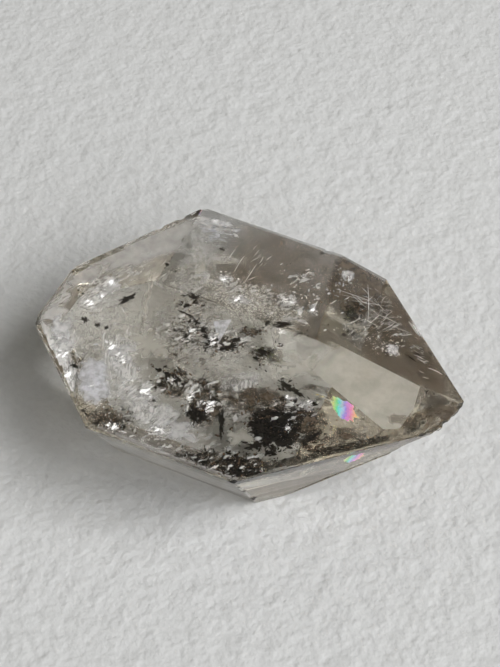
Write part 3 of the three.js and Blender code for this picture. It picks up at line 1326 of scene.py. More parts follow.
    def fine_needles(self) -> StrokePiece:
        """Single scratches, a fan of fine lines, ribs by the right edge and light bars."""
        strokes = many(Stroke, "start end depth width bend", (
            ((-6.6, 9.1), (-6.5, 10.9), 1, 0.07), ((-5.4, 8), (-5.4, 10.3), 1, 0.08, 0.05),
            ((-4, 7.2), (-3.9, 10.1), 1.2, 0.07), ((-3.9, 7.6), (-3.3, 8.4), 1.2, 0.06),
            ((3.9, 10.2), (8.2, 10.2), 1.2, 0.08), ((4.5, 9.7), (7.6, 10.2), 1.3, 0.05),
            ((5.4, 10.3), (7.6, 9.2), 1, 0.06), ((5.9, 9.5), (9, 10.2), 1.1, 0.06),
            ((6.5, 12.1), (8.3, 7.7), 1, 0.09, 0.08), ((8.5, 8.9), (11.3, 8.6), 0.9, 0.08, 0.1),
            ((9, 8.3), (12.5, 8.1), 0.8, 0.05),
            ((11.6, 9.4), (13.3, 8), 0.3, 0.3, 0.06), ((11.6, 7.4), (12.6, 8.1), 0.7, 0.08),
            ((15.2, 4.9), (16.8, 4.7), 0.35, 0.13, 0.12),
            ((4.4, -4.8), (2.5, -5), 1.2, 0.05), ((6.8, -2), (8.6, -2.1), 1, 0.08),
            ((7.7, -2.3), (9, -2.4), 0.9, 0.08), ((4.3, 8.2), (4.7, 9), 1.2, 0.12),
            ((3.1, 6.3), (3.1, 8.1), 1.2, 0.22), ((2.1, 5.4), (2.1, 6.9), 1.2, 0.2),
            ((-7.1, -9.5), (-6.8, -8.1), 1, 0.2), ((2.3, 1.8), (3.5, 3), 1.4, 0.05),
            ((-14.2, 6.1), (-13.6, 7.5), 0.8, 0.22), ((5.3, 9.3), (5.6, 9.8), 1, 0.12),
            ((-3.9, 11.1), (-4.6, 9.8), 1, 0.05),
        ))
        return StrokePiece("fine_needles", "white_veil", self.SNOW, strokes)

    def dark_lines(self) -> StrokePiece:
        """Fine dark strokes, each placed one by one."""
        strokes = many(Stroke, "start end depth width bend", (
            ((-8.2, 1.5), (-7.3, 1.4), 0.6, 0.16), ((-7.5, 1.4), (-6.5, 1.4), 0.6, 0.18),
            ((-13.4, -6.5), (-13.2, -8.8), 0.6, 0.08, -0.15),
            ((-13.3, -8.7), (-12.4, -11), 0.6, 0.07, -0.08),
            ((-12.5, -10.9), (-10.8, -12.8), 0.6, 0.08, -0.12), ((1, -14.1), (0.9, -12.2), 0.5, 0.16, 0.3),
            ((1.9, -14.1), (1.8, -11.9), 0.5, 0.14, 0.3),
            ((2.8, 2.9), (3.8, 4), 0.7, 0.12, 0.35),
            ((-5.5, -4.6), (-4.5, -5.7), 0.6, 0.2, 0.2), ((-6, -5.6), (-4.8, -6.9), 0.6, 0.22, -0.2),
            ((-4.1, -5.8), (-4, -7.3), 0.6, 0.18, 0.2), ((-1.2, -6.4), (0.1, -6.8), 0.8, 0.2),
            ((17.1, 0.6), (17.2, 1), 0.3, 0.14),
        ))
        return StrokePiece("dark_lines", "carbon_inclusion", self.CARBON, strokes)

    def sparks(self) -> SealedPiece:
        """Yellowish sparks near the rainbow crack and in the lower edge."""
        swarms = many(Swarm, "at spread count size depth turn", (
            ((10.3, -5.2), (0.27, 0.6), 8, (0.12, 0.3), (0.8, 1.2)),
            ((6.5, -11.8), (0.27, 0.48), 5, (0.15, 0.3), (0.4, 0.7)),
            ((7.7, -2.3), (1, 0.25), 8, (0.15, 0.4), (0.8, 1.2), -6),
            ((2, 0.1), (1.3, 0.96), 12, (0.08, 0.2), (1.2, 2.4)),
            ((-2.5, -0.3), (1.3, 0.84), 14, (0.1, 0.24), (1.2, 2.4)),
        ))
        return SealedPiece("yellow_sparks", "rainbow_fracture", self.STRAW, Shape.FLAKE, swarms, 19)

    def rosy_sparks(self) -> SealedPiece:
        """A few pink glints."""
        swarms = many(Swarm, "at spread count size depth turn", (
            ((9.4, -0.1), (0.3, 0.08), 5, (0.15, 0.3), (0.8, 1), 60),
            ((6.4, -12.3), (0.18, 0.24), 3, (0.15, 0.26), (0.4, 0.7)),
            ((-2, 0), (0.92, 0.6), 5, (0.08, 0.18), (1.2, 2)),
        ))
        return SealedPiece("rosy_sparks", "rainbow_fracture", self.ROSE, Shape.FLAKE, swarms, 20)

    def small_plates(self) -> PlatePiece:
        """Small flat crystals: two lozenges and a few tiny plates."""
        plates = [
            Plate((-7.2, 12.4), 0.7, 4, 0.45, -20, 0.4, (12, 0)),
            Plate((1.8, -7.8), 0.6, 4, 0.55, 105, 0.42, (6, 4)),
            Plate((-9.4, 10.4), 0.8, 5, 0.14, 10, 0.8),
            Plate((-10.3, 8.9), 0.8, 5, 0.16, 40, 0.8),
            Plate((-10.0, 0.8), 1.2, 5, 0.14, 10, 0.7),
            Plate((-6.3, -1.6), 1.2, 5, 0.16, 10, 0.7),
            Plate((-3.7, -0.8), 1.2, 5, 0.2, 10, 0.7),
            Plate((-0.1, 0.4), 1.2, 5, 0.2, 30, 0.7),
            Plate((-1.4, 0.3), 1.2, 5, 0.16, 30, 0.7),
            Plate((3.2, 5.1), 1.2, 4, 0.24, 30, 0.5),
            Plate((5.1, 5.1), 1.2, 4, 0.2, 60, 0.5),
        ]
        return PlatePiece("small_plates", "white_veil", self.SNOW, plates)

    def veils(self) -> SheetPiece:
        """Healed cracks: pale cloudy sheets deep in the left and the middle."""
        finish = CloudFinish(
            "healed_veil", (0.82, 0.80, 0.76), (0.97, 0.96, 0.94), 0.42, 0.62, 0.08, (0.46, 0.60),
            (1.0, 1.6, 1.0), (0, 0, 30),
        )
        sheets = many(Sheet, "at depth half lean wave turn", (
            ((-12.7, -3.3), 4.2, (5.6, 4.2), (14, 6), 0.5), ((-6.1, -0.2), 6, (5, 4.6), (12, -8), 0.6, 0),
            ((-8.7, 5.3), 4.4, (4.2, 3.2), (-14, 6), 0.5, 20),
            ((-2.4, 4.9), 5.4, (5.4, 2.8), (14, 8), 0.4, -10),
            ((-6, -2), 5.5, (3.6, 6.5), (4, 78), 0.6, 20), ((-11, 0), 5, (3.2, 6), (-6, 84), 0.6, 12),
            ((1.5, 2), 6, (3, 5), (0, 80), 0.5, 24),
        ))
        return SheetPiece("healed_veils", "white_veil", finish, sheets, 21)

    def carbon_films(self) -> SheetPiece:
        """Black branching films in the dark heart and along the lower edge."""
        finish = CloudFinish(
            "carbon_film", (0.006, 0.005, 0.005), (0.03, 0.022, 0.016), 0.5, 1.0, 0.0, (0.50, 0.55),
            roughness=0.35,
        )
        sheets = many(Sheet, "at depth half lean wave weight turn wave_mm", (
            ((5.6, -7.5), 1, (2.5, 2.9), (6, 4), 0.2, 1.4),
            ((5.1, -7.2), 1.6, (2.3, 2.7), (-6, 6), 0.2, 1.4, 60),
            ((6, -7.5), 2.2, (2.8, 2.6), (6, -6), 0.2, 1.4, 0),
            ((6.4, -4.9), 1.4, (2, 1.2), (6, 6), 0.2, 0.8, 30),
            ((-1.4, -9.1), 1.3, (0.9, 1.6), (10, 10), 0.2, 1, 20, 1),
            ((5.4, -12.7), 0.7, (2, 0.7), (6, 0), 0.1, 1, 22, 1),
            ((1.3, -13.1), 0.7, (1.2, 0.9), (6, 0), 0.1, 0.8, 5, 1),
            ((6.4, 7.9), 1.6, (0.7, 1.4), (8, 8), 0.2, 0.8, 22, 1),
        ))
        return SheetPiece("carbon_films", "carbon_inclusion", finish, sheets, 25, cell_mm=0.16)

    def carbon_marks(self) -> SheetPiece:
        """Bold black marks with torn outlines, each placed one by one."""
        finish = CloudFinish(
            "carbon_mark", (0.004, 0.004, 0.004), (0.03, 0.022, 0.015), 0.22, 1.0, 0.5, (0.36, 0.46),
            roughness=0.35,
        )
        sheets = many(Sheet, "at depth half turn", (
            ((-13, 0.7), 0.28, (1.35, 0.5), 60), ((-15.3, -3.2), 0.28, (0.7, 0.5), -38),
            ((-14.1, -3.3), 0.28, (0.62, 0.4), -44), ((-13.2, -3.2), 0.28, (0.52, 0.34), 55),
            ((-13.8, -8.5), 0.28, (0.6, 0.35)), ((8.7, -7), 0.3, (1.6, 0.45), 64),
            ((-6.7, -5.7), 0.5, (0.5, 0.44), 10), ((-6.1, -7.7), 0.5, (0.3, 0.26), 10),
            ((-5.6, -9.1), 0.5, (0.3, 0.3), 30), ((-5.1, -9.7), 0.5, (0.26, 0.24), 30),
            ((1, -8.9), 0.6, (2.5, 0.36), -66), ((4.5, -2.5), 0.7, (1.6, 0.42), -16),
            ((5.7, -2.8), 0.7, (1.2, 0.4), -19), ((7.6, -3.3), 0.6, (0.56, 0.4), -36),
            ((-3.8, -1.1), 0.7, (0.8, 0.36), -6), ((-2.3, -0.8), 0.7, (1, 0.4), 44),
            ((-4.5, -0.3), 0.7, (0.6, 0.34), -42), ((4.7, -13.2), 0.5, (1.5, 0.4), 5),
            ((6.2, -12.9), 0.5, (1.6, 0.4)), ((-1.9, -8.8), 0.7, (1.4, 0.6), -59),
            ((-0.8, -8.9), 0.7, (1.1, 0.5), -43), ((-4.8, -6), 0.7, (0.9, 0.5), -55),
            ((-5.6, -6), 0.7, (0.8, 0.4), -81), ((4.3, -7.9), 0.6, (1.4, 1)),
            ((5.7, -8.6), 0.6, (1.3, 0.8), 40), ((3.8, -6.1), 0.6, (1.2, 0.6), 0),
            ((6.9, -8.4), 0.6, (1.2, 0.5)), ((5.7, -6.2), 0.6, (0.9, 0.7), 60),
            ((-6, 0.9), 0.6, (0.8, 0.4), -24), ((-6.2, -1), 0.6, (0.7, 0.4), 60),
            ((-5, 0.3), 0.6, (0.7, 0.5), -43), ((-7.4, 3.6), 0.6, (0.8, 0.4), -6),
            ((-7.7, 2.4), 0.6, (0.5, 0.4), 68), ((1.1, 4), 0.35, (1.2, 0.5), 38),
            ((-1.8, 0.5), 0.6, (0.7, 0.4), 68), ((0.9, 0.2), 0.6, (0.8, 0.5), -24),
            ((4.7, -9.9), 0.6, (1.2, 0.7), 44), ((-7.6, 10.2), 0.5, (0.4, 0.26), -11),
            ((-11.5, 6.2), 0.4, (0.44, 0.28), -17), ((1.1, 13.8), 0.3, (0.5, 0.28), 67),
        ), wave=0.05, wave_mm=0.8, ragged=0.55, weight=1.6)
        return SheetPiece("carbon_marks", "carbon_inclusion", finish, sheets, 40, cell_mm=0.05)

    def tar_films(self) -> SheetPiece:
        """Brown films with torn edges round the black ones."""
        finish = CloudFinish(
            "tar_film", (0.06, 0.036, 0.022), (0.19, 0.125, 0.08), 0.6, 0.9, 0.0, (0.46, 0.54),
            roughness=0.4,
        )
        sheets = many(Sheet, "at depth half lean wave wave_mm turn weight", (
            ((6, -6.6), 2, (4, 2.8), (6, 6), 0.3, 1.4),
            ((1.9, -5.2), 2.6, (2.6, 1.6), (-6, 6), 0.3, 1.4, 40, 0.7),
            ((-1.4, -7.3), 2.6, (1.8, 2.6), (12, 10), 0.3, 1.2, 20),
            ((-2.4, -0.5), 2.4, (2, 0.9), (12, 10), 0.2, 1.2, 10),
            ((-1.1, 1.9), 2.4, (1.4, 0.6), (12, 6), 0.2, 1.2, 0),
            ((4.4, -12.4), 1.3, (3.4, 1.3), (8, 0), 0.2, 1.2),
            ((9.1, -7.5), 1.4, (2.6, 1.3), (8, 0), 0.2, 1.2, 5, 0.8),
            ((6.9, 8.6), 2.4, (1.1, 1.6), (8, 10), 0.2, 1.2, 22, 0.8),
            ((-7.8, -12.8), 1.2, (2.2, 1.5), (8, 0), 0.2, 1, 14, 0.5),
        ))
        return SheetPiece("tar_films", "carbon_inclusion", finish, sheets, 26, cell_mm=0.18)

    def feather_films(self) -> SheetPiece:
        """White feathered cracks, drawn out in streaks."""
        finish = CloudFinish(
            "feathered_crack", (0.88, 0.86, 0.84), (0.98, 0.97, 0.96), 0.24, 1.0, 0.0, (0.48, 0.56),
            (4.5, 1.0, 1.0), (0, 0, 62), 0.3,
        )
        sheets = many(Sheet, "at depth half turn weight", (
            ((-15.8, -0.4), 0.8, (2.3, 1.5), 60), ((-15, 2.9), 0.6, (2.6, 0.9), 60, 0.7),
            ((-13.7, 6.6), 0.6, (1.4, 0.6), 55, 0.9), ((-18.5, -2), 0.4, (1.8, 0.9), 65, 0.5),
            ((-7.6, -8.7), 0.7, (2.6, 1.6)), ((-3.9, -11.3), 0.7, (3.2, 1.6), 4, 0.7),
            ((-7.2, 5.4), 1, (4, 2.2), 22, 0.4),
        ), lean=(4, 0), wave=0.1)
        return SheetPiece("feather_films", "white_veil", finish, sheets, 27, cell_mm=0.16)

    def silver_cracks(self) -> SheetPiece:
        """Bright open cracks that lie so that they mirror the sky."""
        finish = CloudFinish(
            "silver_crack", (0.85, 0.84, 0.82), (0.98, 0.97, 0.96), 0.24, 0.85, 0.0, (0.47, 0.60),
            (3.0, 1.0, 1.0), (0, 0, 62), 0.42, 0.95,
        )
        sheets = many(Sheet, "at half weight", (
            ((-16.6, -5.8), (0.9, 0.9), 1.5), ((-15.4, -8), (0.9, 0.9), 1.8),
            ((-14, -9.9), (0.9, 0.9), 1.8), ((-12.6, -11.6), (0.8, 0.8), 1.6), ((-16, -1.3), (1, 1), 1.2),
            ((-15.5, 0.2), (1, 1), 1.2), ((-15.3, 1.8), (0.8, 0.8), 0.9), ((-11.8, -4.9), (1, 0.9), 1.4),
            ((-10.3, -5.9), (1, 0.9), 1.5), ((-8.7, -7.9), (1, 0.9), 0.9), ((-6.7, -8.7), (1, 0.8), 1.3),
            ((-11, -9.7), (0.9, 0.9), 0.5), ((-13.5, 6.7), (0.9, 0.5), 1.2), ((-5.6, 6.7), (0.8, 0.6), 1.5),
            ((-7.5, 6.6), (0.6, 0.6), 1.3), ((-9.6, 13.1), (1, 0.6)), ((-11, 13.9), (0.5, 0.3), 1.5),
            ((-3.6, 5), (1, 0.7), 0.8), ((0.5, 7), (1, 0.8), 0.8), ((3.1, 7.1), (0.6, 0.8), 1.5),
            ((2.2, 6.2), (0.5, 0.7), 1.4), ((4.5, 12.2), (0.9, 0.9), 0.5), ((11.6, 5.5), (0.8, 0.8), 1.4),
            ((7.1, -3.5), (0.9, 0.6), 1.4), ((5.2, -3.7), (0.7, 0.4), 1.5), ((6.5, -6.8), (0.6, 0.6), 1.5),
            ((6.4, -12), (0.5, 0.4), 1.5), ((-2.8, -7.4), (0.9, 0.9)), ((-1, -7.4), (0.9, 0.9)),
            ((-5.1, -6.2), (0.9, 0.9)), ((-5.9, -0.6), (1, 0.9), 0.9), ((-3.7, -0.7), (1, 0.8)),
            ((1.4, 3.2), (0.9, 0.5), 1.4), ((-7.6, -13.3), (0.9, 0.7)), ((-3.5, -12), (1, 0.8), 0.9),
        ), depth=0.52, turn=0, lean=(10.8, 18.5), wave=0.1, wave_mm=1.2, ragged=0.7)
        return SheetPiece("silver_cracks", "white_veil", finish, sheets, 42, cell_mm=0.08)

    def left_glow(self) -> SheetPiece:
        """A smooth bright haze along the left rim, and a pale film under the front left face that is painted
        light for the brightness seen through that face.
        """
        finish = CloudFinish(
            "bright_haze_and_painted_light", (0.90, 0.88, 0.86), (0.98, 0.97, 0.96), 1.2, 0.9, 0.55, (0.3, 0.7),
        )
        sheets = [
            *many(Sheet, "at depth half wave ragged weight turn lean", (
                ((-15.6, -8.6), 0.9, (6, 1.6), 0.04, 0.3, 1.1, -49),
                ((-18.8, -3.8), 0.5, (2.4, 1.4), 0.04, 0.3, 0.6),
                ((-9.7, -7.4), 1, (2.6, 2.6), 0.1, 0.5, 0.5, 22, (4, 0)),
            ), wave_mm=3),
            # Painted light: this film under the front face stands in for the bright view through it.
            FaceFilm((0.0, -0.87, -0.5), (-2, -11, 5), (14, 5), weight=0.9),
        ]
        return SheetPiece("left_glow", "white_veil", finish, sheets, 41, cell_mm=0.25, margin_mm=0.1)

    def upright_feathers(self) -> SheetPiece:
        """White cracks drawn out towards the back, in the left half."""
        finish = CloudFinish(
            "upright_feather", (0.88, 0.86, 0.84), (0.98, 0.97, 0.96), 0.24, 1.0, 0.1, (0.44, 0.54),
            (4.5, 1.0, 1.0), (0, 0, 112), 0.3,
        )
        sheets = many(Sheet, "at depth half turn wave weight ragged", (
            ((-11, -5.7), 0.75, (1.5, 2.6), 24, 0.1, 1.1), ((-9.1, -7.1), 0.6, (1.6, 1.4), 24, 0.1, 0.9),
            ((-16.2, -5.8), 0.85, (1.3, 2.4), 40, 0.1, 1.1),
            ((-13.5, -10.2), 0.85, (0.9, 2.6), 20, 0.1, 1.1),
            ((-5.3, -10.4), 0.7, (2.4, 1.4), 10, 0.1, 0.8),
            ((-2.5, -8.8), 0.7, (1.3, 0.26), 100, 0.05, 1.5, 0.4),
            ((-1.7, -7.9), 0.7, (1.2, 0.2), -46, 0.05, 1.5, 0.4),
            ((-0.7, -7.3), 0.7, (1, 0.2), -13, 0.05, 1.5, 0.4),
            ((-0.6, -8.2), 0.7, (0.9, 0.2), 87, 0.05, 1.5, 0.4),
            ((-3.1, -6.3), 0.8, (1.2, 0.5), 60, 0.05, 1, 0.4),
            ((1.1, -4), 0.9, (2.2, 0.7), 44, 0.1, 0.7, 0.4),
        ), lean=(4, 0))
        return SheetPiece("upright_feathers", "white_veil", finish, sheets, 39, cell_mm=0.14)

    def pale_haze(self) -> SheetPiece:
        """Fine pale haze just under the steep left faces and the left rim, and a pale film under the front
        face that is painted light.
        """
        finish = CloudFinish(
            "pale_haze", (0.74, 0.72, 0.70), (0.88, 0.87, 0.85), 1.6, 0.62, 0.36, (0.3, 0.7),
        )
        sheets = [
            FaceFilm((-0.84, 0.53, -0.14), (-14, 9, 5), (9, 7)),
            FaceFilm((-1.0, -0.04, -0.1), (-19, -1, 7), (7, 7), weight=0.8),
            # Painted light: this film under the front face stands in for the bright view through it.
            FaceFilm((0.0, -0.87, -0.5), (-2, -11, 5), (14, 5), 0.25, weight=1.0),
            *many(Sheet, "at depth half wave ragged turn weight", (
                ((-14.6, 7.3), 0.5, (7.6, 2.5), 0.08, 0.2, 55),
                ((-9.5, 12.9), 0.8, (2.6, 1.4), 0.04, 0.3, 4, 1.5),
                ((-9.1, 8.5), 0.8, (4.4, 4.2), 0.1, 0.6, 22, 0.6),
                ((-15.3, -8.7), 1.1, (6, 1.9), 0.04, 0.2, -49, 1.2),
                ((-19.9, -2.2), 0.35, (3.6, 2), 0.04, 0.3, 80, 0.9),
                ((-17.9, 1.6), 0.9, (3, 1.5), 0.04, 0.3, 65),
            ), wave_mm=3),
        ]
        return SheetPiece("pale_haze", "white_veil", finish, sheets, 28, cell_mm=0.3, margin_mm=0.1)

    def rim_frost(self) -> SheetPiece:
        """Dense white frost along the left rim."""
        finish = CloudFinish(
            "rim_frost", (0.92, 0.91, 0.89), (0.98, 0.98, 0.97), 0.40, 1.0, 0.35, (0.38, 0.54),
            (3.5, 1.0, 1.0), (0, 0, 62), 0.3,
        )
        sheets = many(Sheet, "at depth half wave ragged weight turn wave_mm lean", (
            ((-16.9, -7.3), 0.8, (2.6, 0.9), 0.03, 0.5, 1, -49, 4),
            ((-13.5, -10.7), 0.8, (2.6, 0.8), 0.03, 0.5, 1, -45, 4),
            ((-16.1, -6.3), 0.9, (1.3, 2.8), 0.05, 0.4, 0.9, 30),
            ((-13.6, -10.3), 0.9, (0.9, 2.6), 0.05, 0.4, 0.9, 14),
            ((-5.6, 6.7), 0.8, (0.9, 0.55), 0.05, 0.7, 1.5), ((-7.6, 6.4), 0.8, (0.5, 0.5), 0.05, 0.7, 1.3),
            ((3, 7.1), 0.85, (0.3, 0.8), 0.05, 0.6, 1.5, 40),
            ((2.1, 6.1), 0.85, (0.3, 0.6), 0.05, 0.6, 1.5, 40),
            ((0.6, 10.3), 0.5, (2.4, 0.3), 0.05, 0.7, 1.2, 70),
            ((5.2, -3.7), 0.85, (0.7, 0.3), 0.05, 0.6, 1.4),
            ((7.1, -3.7), 0.85, (0.8, 0.4), 0.05, 0.7, 1.2, 0),
            ((6.5, -6.8), 0.85, (0.5, 0.5), 0.05, 0.8, 1.4, 0),
            ((-11, 13.9), 0.5, (0.6, 0.2), 0.03, 0.6, 1.5),
            ((-7.1, 12.3), 0.4, (0.5, 0.2), 0.03, 0.4, 1.5, 10),
            ((11.6, 5.5), 0.85, (0.6, 0.7), 0.05, 0.7, 1.2, 30),
            ((-4, -10.1), 0.8, (1.6, 1.4), 0.1, 0.25, 0.7, 22, 2.5, (4, 0)),
        ))
        return SheetPiece("rim_frost", "white_veil", finish, sheets, 32, cell_mm=0.16, margin_mm=0.08)

    def brown_haze(self) -> SheetPiece:
        """Smoky haze just under the back and right faces and in the tip, partly painted shade: it darkens
        them where the dark is shade seen through the stone.
        """
        finish = CloudFinish(
            "brown_haze", (0.28, 0.225, 0.175), (0.46, 0.38, 0.30), 1.6, 0.8, 0.58, (0.3, 0.7),
        )
        # Painted shade with a smoky tint: dark films where shade is seen through the back and right faces
        # and the tip.
        sheets = [
            FaceFilm((0.0, 0.87, -0.5), (2.5, 12, 6), (13, 14), weight=0.6),
            FaceFilm((0.62, 0.68, -0.39), (12, 7.5, 6), (9, 8), weight=0.58),
            FaceFilm((0.18, 0.85, -0.49), (5.5, 12, 8), (5, 5), weight=0.8),
            Sheet((15.0, -1.7), 0.25, (1.7, 0.9), 22, (0, 0), 0.02, 3.0, 0.4, 0.35),
        ]
        return SheetPiece("brown_haze", "smoky_quartz", finish, sheets, 29, cell_mm=0.2, margin_mm=0.05)

    def brown_stain(self) -> SheetPiece:
        """Soft brown stain that mottles the middle and clouds the heart's upper edge."""
        finish = CloudFinish(
            "brown_stain", (0.10, 0.072, 0.048), (0.24, 0.19, 0.14), 1.1, 0.62, 0.05, (0.38, 0.66),
        )
        sheets = many(Sheet, "at depth half lean wave weight turn", (
            ((-4.3, 0.1), 2, (4.4, 2.6), (5, 4), 0.2, 0.35),
            ((3.2, -5.1), 1.1, (4.4, 2.2), (5, 0), 0.15, 1.5),
            ((6.5, -6.4), 1.8, (4.6, 3), (-5, 0), 0.15, 1.1),
            ((-1.2, -7.6), 1.2, (2.4, 3), (5, 0), 0.15, 1.4),
            ((-2.3, -0.2), 1.2, (2.6, 1.2), (5, 0), 0.15, 0.9, 15),
            ((-1.1, 2), 1.1, (1.5, 0.6), (5, 0), 0.1, 1.2),
            ((-6.9, 2.7), 1.2, (2.2, 1.8), (5, 0), 0.15, 0.5),
            ((-1.6, -4.6), 1.3, (3.6, 2.2), (5, 0), 0.15, 0.6, 7),
            ((-4.7, -6.5), 1.2, (2.6, 2.2), (5, 0), 0.15, 1.1),
            ((7.2, -1.7), 1.3, (2, 0.7), (4, 0), 0.1, 0.9, 10),
            ((10, -6.1), 1, (3.4, 1.3), (4, 0), 0.1, 1.4, 32),
            ((8.4, -5.4), 0.9, (1.7, 2.4), (4, 0), 0.1, 1.9), ((8.1, -2.3), 1.2, (1.1, 1), (4, 0), 0.1),
            ((5.2, -12.1), 1, (4, 1.3), (4, 0), 0.1, 1.1, 21), ((1.3, 0), 1.6, (2.2, 1.4), (4, 0), 0.1),
            ((-8.2, -12.5), 1, (2.6, 1.9), (4, 0), 0.1, 0.5),
            ((10, 8.8), 1.6, (5, 3.4), (4, 0), 0.15, 0.5, 55),
        ))
        return SheetPiece("brown_stain", "carbon_inclusion", finish, sheets, 33, cell_mm=0.2)

    def carbon_specks(self) -> SheetPiece:
        """Sparse crisp black specks that belong together in branching groups."""
        finish = CloudFinish(
            "carbon_specks", (0.006, 0.005, 0.005), (0.04, 0.026, 0.016), 0.55, 1.0, 0.0,
            (0.585, 0.605), roughness=0.35,
        )
        sheets = [
            *many(Sheet, "at depth half weight", (
                ((-6.1, -0.2), 1.1, (2.7, 2.2)), ((-3.1, -0.9), 1, (2.2, 1.3), 1.4),
                ((-7.4, 3.2), 1.1, (1.9, 1.7)), ((-5, -6.4), 1.1, (2, 1.9), 1.4),
                ((-1.6, -7.4), 1.2, (2.2, 3), 1.3), ((6.1, -6.6), 1.3, (4.6, 3.6), 1.4),
            ), lean=(4, 4), wave=0.15),
            *many(Sheet, "at depth half weight turn", (
                ((3.1, -12.8), 0.8, (5.4, 1.9), 1.4, 18), ((-7.9, -12.6), 0.8, (2.4, 1.9), 1.2),
                ((12.1, -6.1), 0.8, (4.6, 0.8), 1, 41), ((1.3, 0.1), 1.1, (1.9, 1.3)),
                ((6.4, 7.9), 1.2, (1, 1.9), 1.3), ((-0.5, 4.1), 1.3, (4, 1.8), 0.9),
            ), lean=(4, 0), wave=0.1),
        ]
        return SheetPiece("carbon_specks", "carbon_inclusion", finish, sheets, 34, cell_mm=0.16)

    def white_specks(self) -> SheetPiece:
        """Sparse crisp white specks, in the clusters and round them."""
        finish = CloudFinish(
            "white_specks", (0.88, 0.87, 0.85), (0.98, 0.98, 0.97), 0.5, 1.0, 0.0, (0.595, 0.625),
            (1.8, 1.0, 1.0), (0, 0, 50), 0.25,
        )
        sheets = many(Sheet, "at depth half lean wave turn weight", (
            ((-6.1, -0.2), 0.8, (3.6, 2.6), (4, 4), 0.15), ((-2.7, 0.1), 0.8, (3, 1.8), (4, 4), 0.15),
            ((-5.5, 6.8), 0.8, (1.6, 1.2), (4, 4), 0.1, 22, 1.5), ((-5, -6.5), 0.8, (2.2, 2), (4, 4), 0.15),
            ((-1.6, -6.9), 0.8, (2.4, 3), (4, 4), 0.15), ((6.3, -4.9), 0.8, (3.4, 2.2), (4, 4), 0.15),
            ((3.8, -12.2), 0.5, (5, 1.7), (4, 0), 0.1, 19), ((-8.3, -8.4), 0.8, (4, 3.4), (4, 4), 0.15),
            ((-4.4, -12.2), 0.7, (4.4, 2.4), (4, 4), 0.15, 10),
            ((-14.9, 1), 0.8, (3.4, 2.6), (4, 4), 0.15, 40),
            ((1.1, 8.6), 0.9, (4.6, 2.6), (4, 4), 0.15, 40, 0.8),
            ((10.9, 7.8), 0.8, (4, 3.4), (4, 4), 0.15, 55, 0.7),
            ((-3.1, 5.3), 0.9, (4, 2.2), (4, 4), 0.15, 22, 0.8),
        ))
        return SheetPiece("white_specks", "white_veil", finish, sheets, 35, cell_mm=0.18)

    def brown_mottle(self) -> SheetPiece:
        """Fine brown clouding in the middle, in the right half and along the front rim."""
        finish = CloudFinish(
            "brown_mottle", (0.10, 0.075, 0.055), (0.26, 0.21, 0.165), 0.42, 0.5, 0.0, (0.52, 0.60),
            (1.5, 1.0, 1.0), (0, 0, 40),
        )
        sheets = many(Sheet, "at depth half lean wave weight turn", (
            ((-4.5, -1.4), 1, (6, 4.6), (2, 2), 0.15, 0.6),
            ((10.1, 9.1), 1.2, (7, 4), (3, 0), 0.2, 0.5, 55),
            ((2.8, -5.7), 1.4, (7, 3.8), (3, -3), 0.2, 0.7),
            ((11.6, -5.9), 0.8, (7, 1.5), (3, 0), 0.1, 0.8, 42),
            ((3, -12.6), 0.7, (6, 1.6), (3, 0), 0.1, 1.1, 16),
        ))
        return SheetPiece("brown_mottle", "carbon_inclusion", finish, sheets, 37, cell_mm=0.3)

    def white_mottle(self) -> SheetPiece:
        """Fine white clouding, drawn out in streaks, under most of the top face."""
        finish = CloudFinish(
            "white_mottle", (0.82, 0.80, 0.78), (0.96, 0.95, 0.93), 0.32, 0.6, 0.0, (0.53, 0.60),
            (2.0, 1.0, 1.0), (0, 0, 52), 0.3,
        )
        sheets = many(Sheet, "at depth half wave weight lean turn", (
            ((-5.5, -0.6), 1.1, (6.4, 5.4), 0.15, 0.8, (2, 2)),
            ((-1.6, 6), 0.8, (7, 2.6), 0.1, 0.8, (0, 0), -5),
            ((10.1, 9.1), 1, (7, 3.6), 0.15, 0.5, (2, 0), 55),
            ((-0.7, -6.7), 1.8, (6, 4), 0.2, 0.6, (3, -3)),
            ((6.9, -4.6), 0.9, (2.8, 2.2), 0.2, 0.9, (3, -3)),
            ((-3.8, 0.2), 0.9, (4.4, 2.6), 0.2, 0.9, (3, -3)),
            ((-10.8, -8.3), 1.2, (5, 5.4), 0.15, 0.8, (2, 2)),
            ((-14.9, 1), 1.5, (5, 3), 0.15, 0.8, (3, 0), 65),
            ((-0.5, -12.2), 1.2, (6, 2.6), 0.1, 0.8, (3, 0), 4),
        ))
        return SheetPiece("white_mottle", "white_veil", finish, sheets, 38, cell_mm=0.3)

